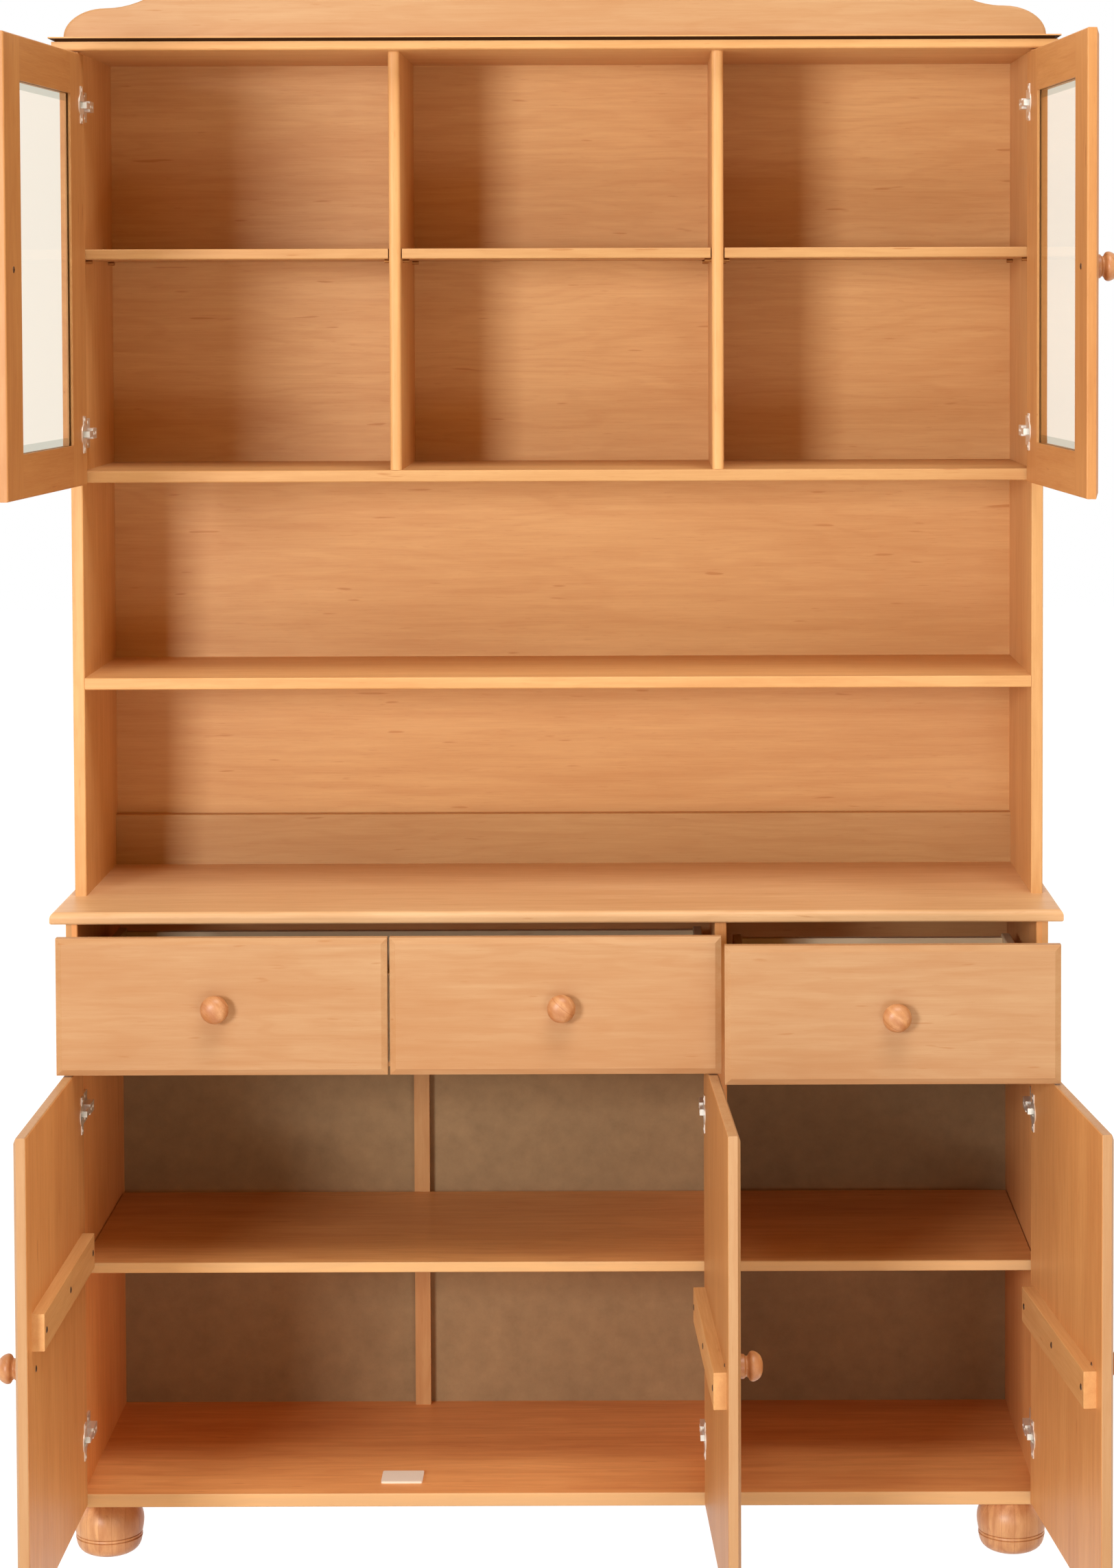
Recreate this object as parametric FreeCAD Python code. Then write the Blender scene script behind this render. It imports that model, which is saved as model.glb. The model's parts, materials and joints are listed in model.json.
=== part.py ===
import FreeCAD, Part
import math
import os

# A dresser with a hutch. Millimetres, +Z up, the front faces -Y and +X is to the right of someone
# who stands before it. The origin is on the floor, in the middle of the width, and half way
# between the free edges of the open doors and the back.

# ---------------------------------------------------------------- boards
board = 16.0                    # sides, doors, dividers and fixed shelves
shelf_board = 14.0              # loose shelves
floor_board = 18.0              # floor of the cupboard
hardboard = 4.0                 # back panels and drawer bottoms
edge_round = 2.0                # soft arris on the boards
back_inset = 5.0                # back panels stand this far inside the rear plane
rebate_width = 8.0              # how far a back panel reaches into a side
joint_gap = 0.2                 # between loose pieces that only rest in their groove

# ---------------------------------------------------------------- base
foot_height = 78.0
foot_diameter = 93.0            # across the belly
foot_tread_diameter = 52.0
foot_rim_diameter = 90.0        # across the bead between the two grooves
foot_neck_diameter = 74.0
foot_heel_height = 22.5         # floor to the lower groove
foot_neck_height = 8.0
foot_groove = 2.0               # depth and width of a groove, and width of the bead
heel_bow = 5.5                  # how far the heel stands off a straight line
foot_side_inset = 43.0          # foot centre from the end of the base
foot_front_inset = 57.0         # foot centre from the front and from the back of the floor
base_width = 1310.0
base_depth = 413.0
base_height = 791.0             # underside of the floor to underside of the worktop
base_shelf_clearance = 298.0    # floor to underside of the shelf
base_shelf_recess = 6.0
shelf_end_gap = 1.5
shelf_rear_gap = 1.0
rail_depth = 60.0
back_rail_height = 105.0
batten_width = 22.0             # upright behind the joint of the two wide back panels
batten_depth = 16.0
batten_offset = 206.0           # its centre, left of the middle
plate_size_x = 56.0             # small cover plate on the cupboard floor
plate_size_y = 45.0
plate_thickness = 2.8
plate_setback = 41.0
plate_shift = 4.0               # to the right of the left third line

worktop_side_overhang = 18.0
worktop_front_overhang = 22.0
worktop_top_round = 8.0
worktop_bottom_round = 3.0

# ---------------------------------------------------------------- fronts
front_reveal = 1.5              # end of the base to the outer edge of a front
front_gap = 3.0                 # between two fronts side by side
front_row_gap = 2.0             # between doors and drawers
front_top_gap = 5.5
door_rise = 4.0                 # underside of the floor to the lower edge of a door
door_gap = 3.5                  # base to the inner face of a closed door
bevel_width = 8.0
bevel_depth = 4.0
drawer_front_height = 180.5
drawer_front_thickness = 18.0

door_batten_height = 46.0
door_batten_thickness = 16.0
batten_hinge_inset = 22.0
batten_free_inset = 30.0
batten_over_shelf = 3.0         # left door: batten passes above the shelf
batten_under_shelf = 12.0       # other doors: batten passes below the shelf

# ---------------------------------------------------------------- drawers
box_side_thickness = 12.5
box_side_height = 115.0
box_rise = 14.0                 # lower edge of the front to the lower edge of the box
box_length = 360.0
box_side_gap = 13.0             # box to the board that carries its runner
box_bottom_rise = 8.0
bottom_groove_depth = 6.0
bottom_edge_gap = 1.0           # edge of the bottom to the depth of its groove
box_back_drop = 4.0             # back board lower than the sides
runner_height = 14.0
runner_bite = 5.0               # how far a runner reaches into the groove of a box side
runner_groove_depth = 6.0
runner_front_inset = 20.0
runner_length = 350.0
runner_clearance = 0.3

# ---------------------------------------------------------------- hutch
hutch_side_step = 5.0            # the hutch is this much wider than the base at each end
hutch_depth = 300.0
hutch_height = 1146.0           # worktop to underside of the cornice board
lower_space = 282.0             # worktop to lower shelf
middle_space = 266.0            # lower shelf to fixed shelf
upper_space = 286.5             # fixed shelf to loose shelf
divider_offset = 218.7          # divider centre from the middle
divider_round = 6.0
hutch_rail_height = 72.0
hutch_shelf_recess = 6.0

cornice_thickness = 18.0
cornice_front_overhang = 40.0
cornice_side_overhang = 19.0
cornice_lip = 2.0               # thin projecting top edge
cornice_quirk = 4.0             # height of the narrow groove below the lip
cornice_quirk_depth = 8.0       # front of the lip to the bottom of the groove
cornice_band_setback = 4.0      # front of the lip to the straight band
cornice_bottom_round = 3.0

pediment_setback = 10.0         # behind the front of the cornice board
pediment_end_inset = 0.5
pediment_shoulder_height = 39.0
pediment_shoulder_length = 57.0
pediment_rise_length = 55.0     # hollow curve after the shoulder
pediment_rise_height = 13.0
pediment_crown_height = 86.0
pediment_crown_lead = 60.0      # how far the slope of the rise carries on into the crown

# ---------------------------------------------------------------- glass doors
divider_cover = 5.2             # how far a glass door covers its divider
glass_door_drop = 2.0           # below the fixed shelf
glass_door_top_gap = 3.5
stile_width = 80.0
frame_rail_width = 56.0
glass_thickness = 4.0
glass_recess = 3.5              # inner face of the frame to the glass
glass_groove_depth = 8.0
glass_edge_gap = 1.0
glass_bevel_width = 16.0
glass_bevel_depth = 1.2

# ---------------------------------------------------------------- knobs
knob_radius = 18.5
knob_length = 31.0
knob_neck_radius = 15.0
knob_neck_length = 8.0
knob_waist_radius = 12.5
knob_waist_length = 5.0
knob_head_shoulder = 4.0        # from the waist to where the head is widest
knob_rim_length = 4.5
knob_crown_radius = 13.0
knob_crown_height = 3.0
knob_free_inset = 57.0          # knob centre from the free edge of a door
glass_knob_free_inset = 40.0
glass_knob_drop = 293.0         # top edge of a glass door to its knob
drawer_knob_shifts = (-7.0, 8.0, 4.0)   # middle of each drawer front to its knob

# ---------------------------------------------------------------- hinges
pivot_in = 10.3                 # hinge edge of a door to the pin
pivot_depth = 11.0              # inner face of a door to the pin
pin_radius = 1.2
pin_clearance = 0.05
pin_half_length = 7.5
cup_radius = 13.0
cup_depth = 13.0
cup_inset = 18.0                # hinge edge to the centre of the cup
cup_floor = 0.5
cup_fit = 0.05
cup_rim = 2.0                   # rim wider than the cup
flange_thickness = 1.2
flange_width = 12.0
flange_length = 50.0
pocket_near_wall = 1.9
pocket_far_wall = 1.9
pocket_half_height = 4.5
arm_offset = 14.0               # pin to the near side of the arm
arm_thickness = 3.0
arm_foot_thickness = 2.5
arm_half_height = 4.0
arm_block_setback = 12.0        # front of the base to the block of the arm
arm_block_length = 33.0
arm_block_half_height = 7.0
arm_plate_thickness = 3.0
arm_plate_length = 40.0
arm_plate_half_height = 20.0
door_hinge_top_inset = 67.0
door_hinge_bottom_inset = 93.0
glass_hinge_inset = 68.5

# ---------------------------------------------------------------- shelf pegs
peg_radius = 2.5
peg_in = 7.0
peg_out = 9.0
peg_fit = 0.1
peg_inset = 40.0

# ---------------------------------------------------------------- how far things stand open
left_cupboard_open = 90.4
middle_cupboard_open = 92.9
right_cupboard_open = 95.3
left_glass_open = 94.0
right_glass_open = 93.6
wide_drawer_pull = 78.0
right_drawer_pull = 145.0

# ---------------------------------------------------------------- working allowances
touch = 0.01                    # two planes nearer than this are taken as one
overcut = 1.0                   # how far a cutting shape runs past the face that it opens

# ---------------------------------------------------------------- levels and planes
front_width = (base_width - 2 * front_reveal - 2 * front_gap) / 3
front_y = (front_width + door_gap - base_depth) / 2
rear_y = front_y + base_depth
base_half = base_width / 2
base_inner = base_half - board
partition_x = base_width / 6
floor_top = foot_height + floor_board
base_top = foot_height + base_height
worktop_top = base_top + board
back_face = rear_y - back_inset - hardboard
base_shelf_z = floor_top + base_shelf_clearance

drawer_z1 = base_top - front_top_gap
drawer_z0 = drawer_z1 - drawer_front_height
door_z0 = foot_height + door_rise
door_z1 = drawer_z0 - front_row_gap
door_mid_z = (door_z0 + door_z1) / 2
drawer_mid_z = (drawer_z0 + drawer_z1) / 2
drawer_gap = door_gap + board - drawer_front_thickness
box_z0 = drawer_z0 + box_rise
runner_z = box_z0 + box_side_height / 2

hutch_half = base_half + hutch_side_step
hutch_inner = hutch_half - board
hutch_front = rear_y - hutch_depth
hutch_top_z = worktop_top + hutch_height
lower_shelf_z = worktop_top + lower_space
fixed_shelf_z = lower_shelf_z + board + middle_space
loose_shelf_z = fixed_shelf_z + board + upper_space
glass_door_z0 = fixed_shelf_z - glass_door_drop
glass_door_z1 = hutch_top_z - glass_door_top_gap
glass_door_width = hutch_half - front_reveal - divider_offset - board / 2 + divider_cover
cornice_top = hutch_top_z + cornice_thickness

X = FreeCAD.Vector(1, 0, 0)
Y = FreeCAD.Vector(0, 1, 0)
Z = FreeCAD.Vector(0, 0, 1)


# ---------------------------------------------------------------- shared shapes
def block(x0, x1, y0, y1, z0, z1):
    return Part.makeBox(x1 - x0, y1 - y0, z1 - z0, FreeCAD.Vector(x0, y0, z0))


def edges_where(shape, test):
    """Straight edges whose two ends both pass the test."""
    return [edge for edge in shape.Edges if all(test(vertex.Point) for vertex in edge.Vertexes)]


def upright_arrises(shape, front):
    return [edge for edge in edges_where(shape, lambda point: abs(point.y - front) < touch)
            if abs(edge.Vertexes[0].Z - edge.Vertexes[1].Z) > touch]


def level_arrises(shape, front):
    return [edge for edge in edges_where(shape, lambda point: abs(point.y - front) < touch)
            if abs(edge.Vertexes[0].X - edge.Vertexes[1].X) > touch]


def rectangle(x0, x1, z0, z1, y):
    corners = [FreeCAD.Vector(x, y, z) for x, z in ((x0, z0), (x1, z0), (x1, z1), (x0, z1), (x0, z0))]
    return Part.makePolygon(corners)


def bevelled_board(x0, x1, z0, z1, back, thickness):
    """A front: its rear face at back, its outer face towards -Y with a wide bevel all round."""
    outer = back - thickness
    sections = [rectangle(x0, x1, z0, z1, back),
                rectangle(x0, x1, z0, z1, outer + bevel_depth),
                rectangle(x0 + bevel_width, x1 - bevel_width, z0 + bevel_width, z1 - bevel_width, outer)]
    slab = Part.makeLoft(sections, True, True)
    rear_arrises = edges_where(slab, lambda point: abs(point.y - back) < touch)
    return slab.makeFillet(edge_round, rear_arrises)


def turned(outline, centre, axis):
    """Turn an outline of (radius, height) points about Z, then stand it on centre along axis."""
    corners = [FreeCAD.Vector(radius, 0, height) for radius, height in outline]
    face = Part.Face(Part.makePolygon(corners + corners[:1]))
    solid = face.revolve(FreeCAD.Vector(0, 0, 0), Z, 360)
    solid.Placement = FreeCAD.Placement(centre, FreeCAD.Rotation(Z, axis))
    return solid


def bowed(start, end, rise, facets):
    """Points of a round stretch of a turned outline from start to end, as a few flat facets.
    rise is how far the arc stands off its chord, to the outside of an outline drawn upwards."""
    along = FreeCAD.Vector(end[0] - start[0], end[1] - start[1], 0)
    outward = FreeCAD.Vector(along.y, -along.x, 0).normalize() * rise
    first = FreeCAD.Vector(start[0], start[1], 0)
    arc = Part.Arc(first, first + along / 2 + outward, first + along)
    return [(point.x, point.y) for point in arc.discretize(facets + 1)]


def moulded_slab(half_width, front, rear, outline):
    """A slab with the same moulded edge on its front and both ends, mitred at the corners.

    outline(make_point, near) returns the edges of the moulding, from the lower arris up to the
    upper one. make_point turns a distance inwards and a height into a point."""
    def section(make_point, near, far):
        moulding = outline(make_point, near)
        low = moulding[0].Vertexes[0].Point
        high = moulding[-1].Vertexes[-1].Point
        low_far = make_point(far, low.z)
        high_far = make_point(far, high.z)
        wires = moulding + [Part.makeLine(high, high_far), Part.makeLine(high_far, low_far),
                            Part.makeLine(low_far, low)]
        return Part.Face(Part.Wire(Part.__sortEdges__(wires)))

    across = section(lambda inward, z: FreeCAD.Vector(-half_width, front + inward, z), 0, rear - front)
    front_part = across.extrude(X * 2 * half_width)
    left = section(lambda inward, z: FreeCAD.Vector(-half_width + inward, front, z), 0, half_width)
    right = section(lambda inward, z: FreeCAD.Vector(half_width - inward, front, z), 0, half_width)
    ends = left.extrude(Y * (rear - front)).fuse(right.extrude(Y * (rear - front)))
    return front_part.common(ends).removeSplitter().Solids[0]


def peg_pair_y(front, rear):
    return (front + peg_inset, rear - peg_inset)


def pegs_on(face_x, direction, front, rear, underside, extra=0.0):
    """Shelf pegs that stick out of a board's face; extra makes the matching drill holes."""
    pegs = []
    for y in peg_pair_y(front, rear):
        start = FreeCAD.Vector(face_x - direction * (peg_in + extra), y, underside - peg_radius - peg_fit)
        pegs.append(Part.makeCylinder(peg_radius + extra, peg_in + peg_out + extra, start, X * direction))
    return pegs


def drilled(shape, holes):
    for hole in holes:
        shape = shape.cut(hole)
    return shape


def opened(shape, hinge, angle):
    """Turn a piece made in its closed place by the angle that its door stands open."""
    turned_shape = shape.copy()
    turned_shape.rotate(FreeCAD.Vector(hinge["x"], hinge["y"], 0), Z, -hinge["side"] * angle)
    return turned_shape


def pulled(shape, distance):
    moved = shape.copy()
    moved.translate(Y * -distance)
    return moved


# ---------------------------------------------------------------- base
base_shelf_front = front_y + base_shelf_recess
base_shelf_rear = back_face - batten_depth - shelf_rear_gap


def base_pegs(extra=0.0):
    place = (base_shelf_front, base_shelf_rear, base_shelf_z, extra)
    return {"left": pegs_on(-base_inner, 1, *place),
            "partition": pegs_on(partition_x - board / 2, -1, *place)
            + pegs_on(partition_x + board / 2, 1, *place),
            "right": pegs_on(base_inner, -1, *place)}


def rear_rebate(inner_x, direction, z0, z1):
    """The step in the rear of a side that a back panel lies in."""
    x0, x1 = sorted((inner_x, inner_x + direction * rebate_width))
    return block(x0, x1, back_face, rear_y, z0, z1)


def base_side(direction):
    x0, x1 = sorted((direction * base_inner, direction * base_half))
    side = block(x0, x1, front_y, rear_y, floor_top, base_top)
    side = side.makeFillet(edge_round, upright_arrises(side, front_y))
    side = side.cut(rear_rebate(direction * base_inner, direction, floor_top, base_top))
    return drilled(side, base_pegs(peg_fit)["left" if direction < 0 else "right"])


def base_partition():
    x0 = partition_x - board / 2
    panel = block(x0, x0 + board, front_y, back_face, floor_top, base_top)
    panel = panel.makeFillet(edge_round, upright_arrises(panel, front_y))
    return drilled(panel, base_pegs(peg_fit)["partition"])


def base_floor():
    floor = block(-base_half, base_half, front_y, back_face, foot_height, floor_top)
    return floor.makeFillet(edge_round, level_arrises(floor, front_y))


def base_bays():
    """Left and right end of the wide bay and of the single bay."""
    return ((-base_inner, partition_x - board / 2), (partition_x + board / 2, base_inner))


def base_shelf(bay):
    shelf = block(bay[0] + shelf_end_gap, bay[1] - shelf_end_gap, base_shelf_front, base_shelf_rear,
                  base_shelf_z, base_shelf_z + shelf_board)
    return shelf.makeFillet(edge_round, level_arrises(shelf, base_shelf_front))


def base_rails():
    """In each bay: a rail between doors and drawer, and a back rail under the worktop."""
    rails = []
    middle = drawer_z0 - front_row_gap / 2
    for x0, x1 in base_bays():
        rails.append(block(x0, x1, front_y, front_y + rail_depth, middle - board / 2, middle + board / 2))
        rails.append(block(x0, x1, back_face - board, back_face, base_top - back_rail_height, base_top))
    return rails


def base_back_panels():
    """Three hardboard panels that meet behind the batten and behind the partition."""
    outer = base_inner + rebate_width - joint_gap
    joints = (-outer, -batten_offset, partition_x, outer)
    return [block(x0 + joint_gap, x1 - joint_gap, back_face, back_face + hardboard, foot_height, base_top)
            for x0, x1 in zip(joints, joints[1:])]


def back_batten():
    centre = -batten_offset
    return block(centre - batten_width / 2, centre + batten_width / 2, back_face - batten_depth, back_face,
                 floor_top, base_top - back_rail_height)


def floor_cover_plate():
    centre = -partition_x + plate_shift
    y0 = front_y + plate_setback
    plate = block(centre - plate_size_x / 2, centre + plate_size_x / 2, y0, y0 + plate_size_y,
                  floor_top, floor_top + plate_thickness)
    corners = [edge for edge in plate.Edges if abs(edge.Vertexes[0].Z - edge.Vertexes[1].Z) > touch]
    return plate.makeFillet(plate_thickness, corners)


def worktop_edge(make_point, near):
    low = base_top
    high = worktop_top
    lift = 1 - math.sqrt(0.5)
    bottom = Part.Arc(make_point(near + worktop_bottom_round, low),
                      make_point(near + worktop_bottom_round * lift, low + worktop_bottom_round * lift),
                      make_point(near, low + worktop_bottom_round)).toShape()
    nose = Part.makeLine(make_point(near, low + worktop_bottom_round),
                         make_point(near, high - worktop_top_round))
    top = Part.Arc(make_point(near, high - worktop_top_round),
                   make_point(near + worktop_top_round * lift, high - worktop_top_round * lift),
                   make_point(near + worktop_top_round, high)).toShape()
    return [bottom, nose, top]


def worktop():
    return moulded_slab(base_half + worktop_side_overhang, front_y - worktop_front_overhang, rear_y,
                        worktop_edge)


def groove(radius, low):
    """The three points of a V groove cut into a turned outline, from its lower edge at low."""
    return [(radius, low), (radius - foot_groove, low + foot_groove / 2), (radius, low + foot_groove)]


def foot(x, y):
    """A turned bun foot: flat tread, round heel, a bead between two grooves, belly and neck."""
    tread = foot_tread_diameter / 2
    rim = foot_rim_diameter / 2
    neck = foot_neck_diameter / 2
    upper_groove = foot_heel_height + 2 * foot_groove
    bead_top = upper_groove + foot_groove
    belly_top = foot_height - foot_neck_height
    belly = foot_diameter / 2 - (rim + neck) / 2
    outline = [(0, 0)]
    outline += bowed((tread, 0), (rim, foot_heel_height), heel_bow, 3)[:-1]
    outline += groove(rim, foot_heel_height)
    outline += groove(rim, upper_groove)[:-1]
    outline += bowed((rim, bead_top), (neck, belly_top), belly, 4)
    outline += [(neck - foot_groove, belly_top + foot_groove), (neck - foot_groove, foot_height), (0, foot_height)]
    return turned(outline, FreeCAD.Vector(x, y, 0), Z)


def feet():
    return [foot(side * foot_x, y) for y in (foot_front_y, foot_rear_y) for side in (-1, 1)]


# ---------------------------------------------------------------- hutch
hutch_back_face = back_face
hutch_shelf_rear = hutch_back_face - shelf_rear_gap
loose_shelf_front = hutch_front + hutch_shelf_recess


def hutch_bays():
    inner = divider_offset - board / 2
    outer = divider_offset + board / 2
    return ((-hutch_inner, -outer), (-inner, inner), (outer, hutch_inner))


def hutch_pegs(extra=0.0):
    place = (loose_shelf_front, hutch_shelf_rear, loose_shelf_z, extra)
    pegs = {"left": [], "left_divider": [], "right_divider": [], "right": []}
    boards = ("left", "left_divider", "right_divider", "right")
    for (x0, x1), (west, east) in zip(hutch_bays(), zip(boards, boards[1:])):
        pegs[west] += pegs_on(x0, 1, *place)
        pegs[east] += pegs_on(x1, -1, *place)
    return pegs


def hutch_side(direction):
    x0, x1 = sorted((direction * hutch_inner, direction * hutch_half))
    side = block(x0, x1, hutch_front, rear_y, worktop_top, hutch_top_z)
    side = side.makeFillet(edge_round, upright_arrises(side, hutch_front))
    side = side.cut(rear_rebate(direction * hutch_inner, direction, worktop_top, hutch_top_z))
    return drilled(side, hutch_pegs(peg_fit)["left" if direction < 0 else "right"])


def hutch_divider(direction):
    x0 = direction * divider_offset - board / 2
    panel = block(x0, x0 + board, hutch_front, hutch_back_face, fixed_shelf_z + board, hutch_top_z)
    panel = panel.makeFillet(divider_round, upright_arrises(panel, hutch_front))
    return drilled(panel, hutch_pegs(peg_fit)["left_divider" if direction < 0 else "right_divider"])


def full_shelf(z):
    shelf = block(-hutch_inner, hutch_inner, hutch_front, hutch_back_face, z, z + board)
    return shelf.makeFillet(edge_round, level_arrises(shelf, hutch_front))


def loose_shelves():
    shelves = []
    for x0, x1 in hutch_bays():
        shelf = block(x0 + shelf_end_gap, x1 - shelf_end_gap, loose_shelf_front, hutch_shelf_rear,
                      loose_shelf_z, loose_shelf_z + shelf_board)
        shelves.append(shelf.makeFillet(edge_round, level_arrises(shelf, loose_shelf_front)))
    return shelves


def hutch_back_panel():
    outer = hutch_inner + rebate_width - joint_gap
    return block(-outer, outer, hutch_back_face, hutch_back_face + hardboard, worktop_top, hutch_top_z)


def hutch_back_rail():
    rail = block(-hutch_inner, hutch_inner, hutch_back_face - board, hutch_back_face,
                 worktop_top, worktop_top + hutch_rail_height)
    return rail.makeFillet(edge_round, [edge for edge in level_arrises(rail, hutch_back_face - board)
                                        if edge.Vertexes[0].Z > worktop_top + touch])


def cornice_edge(make_point, near):
    """Bottom arris, straight band, narrow groove and thin lip, from below."""
    low = hutch_top_z
    band_top = cornice_top - cornice_lip - cornice_quirk
    lip_bottom = cornice_top - cornice_lip
    band = near + cornice_band_setback
    bottom = near + cornice_quirk_depth
    lift = 1 - math.sqrt(0.5)
    return [
        Part.Arc(make_point(band + cornice_bottom_round, low),
                 make_point(band + cornice_bottom_round * lift, low + cornice_bottom_round * lift),
                 make_point(band, low + cornice_bottom_round)).toShape(),
        Part.makeLine(make_point(band, low + cornice_bottom_round), make_point(band, band_top)),
        Part.makeLine(make_point(band, band_top), make_point(bottom, band_top)),
        Part.makeLine(make_point(bottom, band_top), make_point(bottom, lip_bottom)),
        Part.makeLine(make_point(bottom, lip_bottom), make_point(near, lip_bottom)),
        Part.makeLine(make_point(near, lip_bottom), make_point(near, cornice_top)),
    ]


def cornice_board():
    return moulded_slab(hutch_half + cornice_side_overhang, hutch_front - cornice_front_overhang, rear_y,
                        cornice_edge)


def bezier(points):
    curve = Part.BezierCurve()
    curve.setPoles(points)
    return curve.toShape()


def pediment():
    """A board on the cornice: round shoulders, a hollow rise and a long low crown."""
    half = hutch_half - pediment_end_inset
    front = hutch_front - cornice_front_overhang + pediment_setback
    length = pediment_shoulder_length
    height = pediment_shoulder_height
    rise_end = length + pediment_rise_length
    rise_top = height + pediment_rise_height
    slope = 2 * pediment_rise_height / pediment_rise_length
    roundness = 4 * (math.sqrt(2) - 1) / 3

    def half_outline(side):
        def point(from_end, up):
            return FreeCAD.Vector(side * (half - from_end), front, cornice_top + up)

        shoulder = bezier([point(0, 0), point(0, height * roundness),
                           point(length * (1 - roundness), height), point(length, height)])
        rise = bezier([point(length, height), point(length + pediment_rise_length / 2, height),
                       point(rise_end, rise_top)])
        crown = bezier([point(rise_end, rise_top),
                        point(rise_end + pediment_crown_lead, rise_top + slope * pediment_crown_lead),
                        point(half / 2, pediment_crown_height), point(half, pediment_crown_height)])
        return [shoulder, rise, crown]

    base_line = Part.makeLine(FreeCAD.Vector(-half, front, cornice_top), FreeCAD.Vector(half, front, cornice_top))
    outline = Part.Wire(Part.__sortEdges__(half_outline(-1) + half_outline(1) + [base_line]))
    board_shape = Part.Face(outline).extrude(Y * board)
    return board_shape.makeChamfer(edge_round, [edge for edge in board_shape.Edges if on_front_curve(edge, front)])


def on_front_curve(edge, front):
    in_front = all(abs(vertex.Y - front) < touch for vertex in edge.Vertexes)
    above = edge.CenterOfMass.z > cornice_top + touch
    return in_front and above


# ---------------------------------------------------------------- hinges
def hinge_place(edge_x, side, plane, face_x, heights):
    """side is +1 where the closed door runs towards +X from its hinge edge, -1 where it runs to -X.
    face_x is the face of the board that carries the arm."""
    return {"x": edge_x + side * pivot_in, "y": plane - door_gap - pivot_depth, "side": side,
            "edge": edge_x, "plane": plane, "face": face_x, "heights": heights}


door_hinge_heights = (door_z0 + door_hinge_bottom_inset, door_z1 - door_hinge_top_inset)
glass_hinge_heights = (glass_door_z0 + glass_hinge_inset, glass_door_z1 - glass_hinge_inset)
outer_front = base_half - front_reveal
middle_front = front_width / 2
outer_glass = hutch_half - front_reveal

left_cupboard_hinge = hinge_place(-outer_front, 1, front_y, -base_inner, door_hinge_heights)
middle_cupboard_hinge = hinge_place(middle_front, -1, front_y, partition_x - board / 2, door_hinge_heights)
right_cupboard_hinge = hinge_place(outer_front, -1, front_y, base_inner, door_hinge_heights)
left_glass_hinge = hinge_place(-outer_glass, 1, hutch_front, -hutch_inner, glass_hinge_heights)
right_glass_hinge = hinge_place(outer_glass, -1, hutch_front, hutch_inner, glass_hinge_heights)
hinges = (left_cupboard_hinge, middle_cupboard_hinge, right_cupboard_hinge, left_glass_hinge,
          right_glass_hinge)


def hinge_block(hinge, u0, u1, v0, v1, z0, z1):
    """A box measured from the pin: u runs along the closed door, v runs to the back."""
    x0, x1 = sorted((hinge["x"] + hinge["side"] * u0, hinge["x"] + hinge["side"] * u1))
    return block(x0, x1, hinge["y"] + v0, hinge["y"] + v1, z0, z1)


def hinge_pin(hinge, z, radius, half_length):
    return Part.makeCylinder(radius, 2 * half_length, FreeCAD.Vector(hinge["x"], hinge["y"], z - half_length))


def hinge_arm(hinge, z):
    """Mounting plate, block, cranked arm and pin of one hinge."""
    face = hinge["side"] * (hinge["face"] - hinge["x"])
    far = arm_offset + arm_thickness
    block_front = hinge["plane"] + arm_block_setback - hinge["y"]
    block_rear = block_front + arm_block_length
    plate_middle = (block_front + block_rear) / 2
    foot_half = arm_foot_thickness / 2
    pieces = [
        hinge_block(hinge, 0, far, -foot_half, foot_half, z - arm_half_height, z + arm_half_height),
        hinge_block(hinge, arm_offset, far, -foot_half, block_rear, z - arm_half_height, z + arm_half_height),
        hinge_block(hinge, face, far, block_front, block_rear,
                    z - arm_block_half_height, z + arm_block_half_height),
        hinge_block(hinge, face, face + arm_plate_thickness, plate_middle - arm_plate_length / 2,
                    plate_middle + arm_plate_length / 2, z - arm_plate_half_height,
                    z + arm_plate_half_height),
        hinge_pin(hinge, z, pin_radius, pin_half_length),
    ]
    return pieces[0].fuse(pieces[1:]).removeSplitter()


def hinge_arms():
    return [hinge_arm(hinge, z) for hinge in hinges for z in hinge["heights"]]


def cup_centre(hinge, z, v):
    return FreeCAD.Vector(hinge["edge"] + hinge["side"] * cup_inset, hinge["y"] + v, z)


def hinge_cup(hinge, z):
    """Cup with its flange, open in the middle for the arm, drilled for the pin."""
    inner_face = pivot_depth
    cup = Part.makeCylinder(cup_radius, cup_depth, cup_centre(hinge, z, inner_face), -Y)
    rim = Part.makeCylinder(cup_radius + cup_rim, flange_thickness, cup_centre(hinge, z, inner_face), Y)
    flange_u = cup_inset - pivot_in
    flange = hinge_block(hinge, flange_u - flange_width / 2, flange_u + flange_width / 2, inner_face,
                         inner_face + flange_thickness, z - flange_length / 2, z + flange_length / 2)
    near = cup_inset - pivot_in - cup_radius + pocket_near_wall
    far = cup_inset - pivot_in + cup_radius - pocket_far_wall
    pocket = hinge_block(hinge, near, far, inner_face - cup_depth + cup_floor,
                         inner_face + 2 * flange_thickness, z - pocket_half_height, z + pocket_half_height)
    bore = hinge_pin(hinge, z, pin_radius + pin_clearance, pin_half_length + pin_clearance)
    return cup.fuse([rim, flange]).cut(pocket).cut(bore).removeSplitter()


def hinge_cups(hinge, angle):
    return [opened(hinge_cup(hinge, z), hinge, angle) for z in hinge["heights"]]


def bored_for_cups(panel, hinge):
    for z in hinge["heights"]:
        start = cup_centre(hinge, z, pivot_depth + overcut)
        bore_depth = cup_depth + overcut + cup_fit
        panel = panel.cut(Part.makeCylinder(cup_radius + cup_fit, bore_depth, start, -Y))
    return panel


# ---------------------------------------------------------------- doors
def door_span(hinge, width):
    return sorted((hinge["edge"], hinge["edge"] + hinge["side"] * width))


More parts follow.
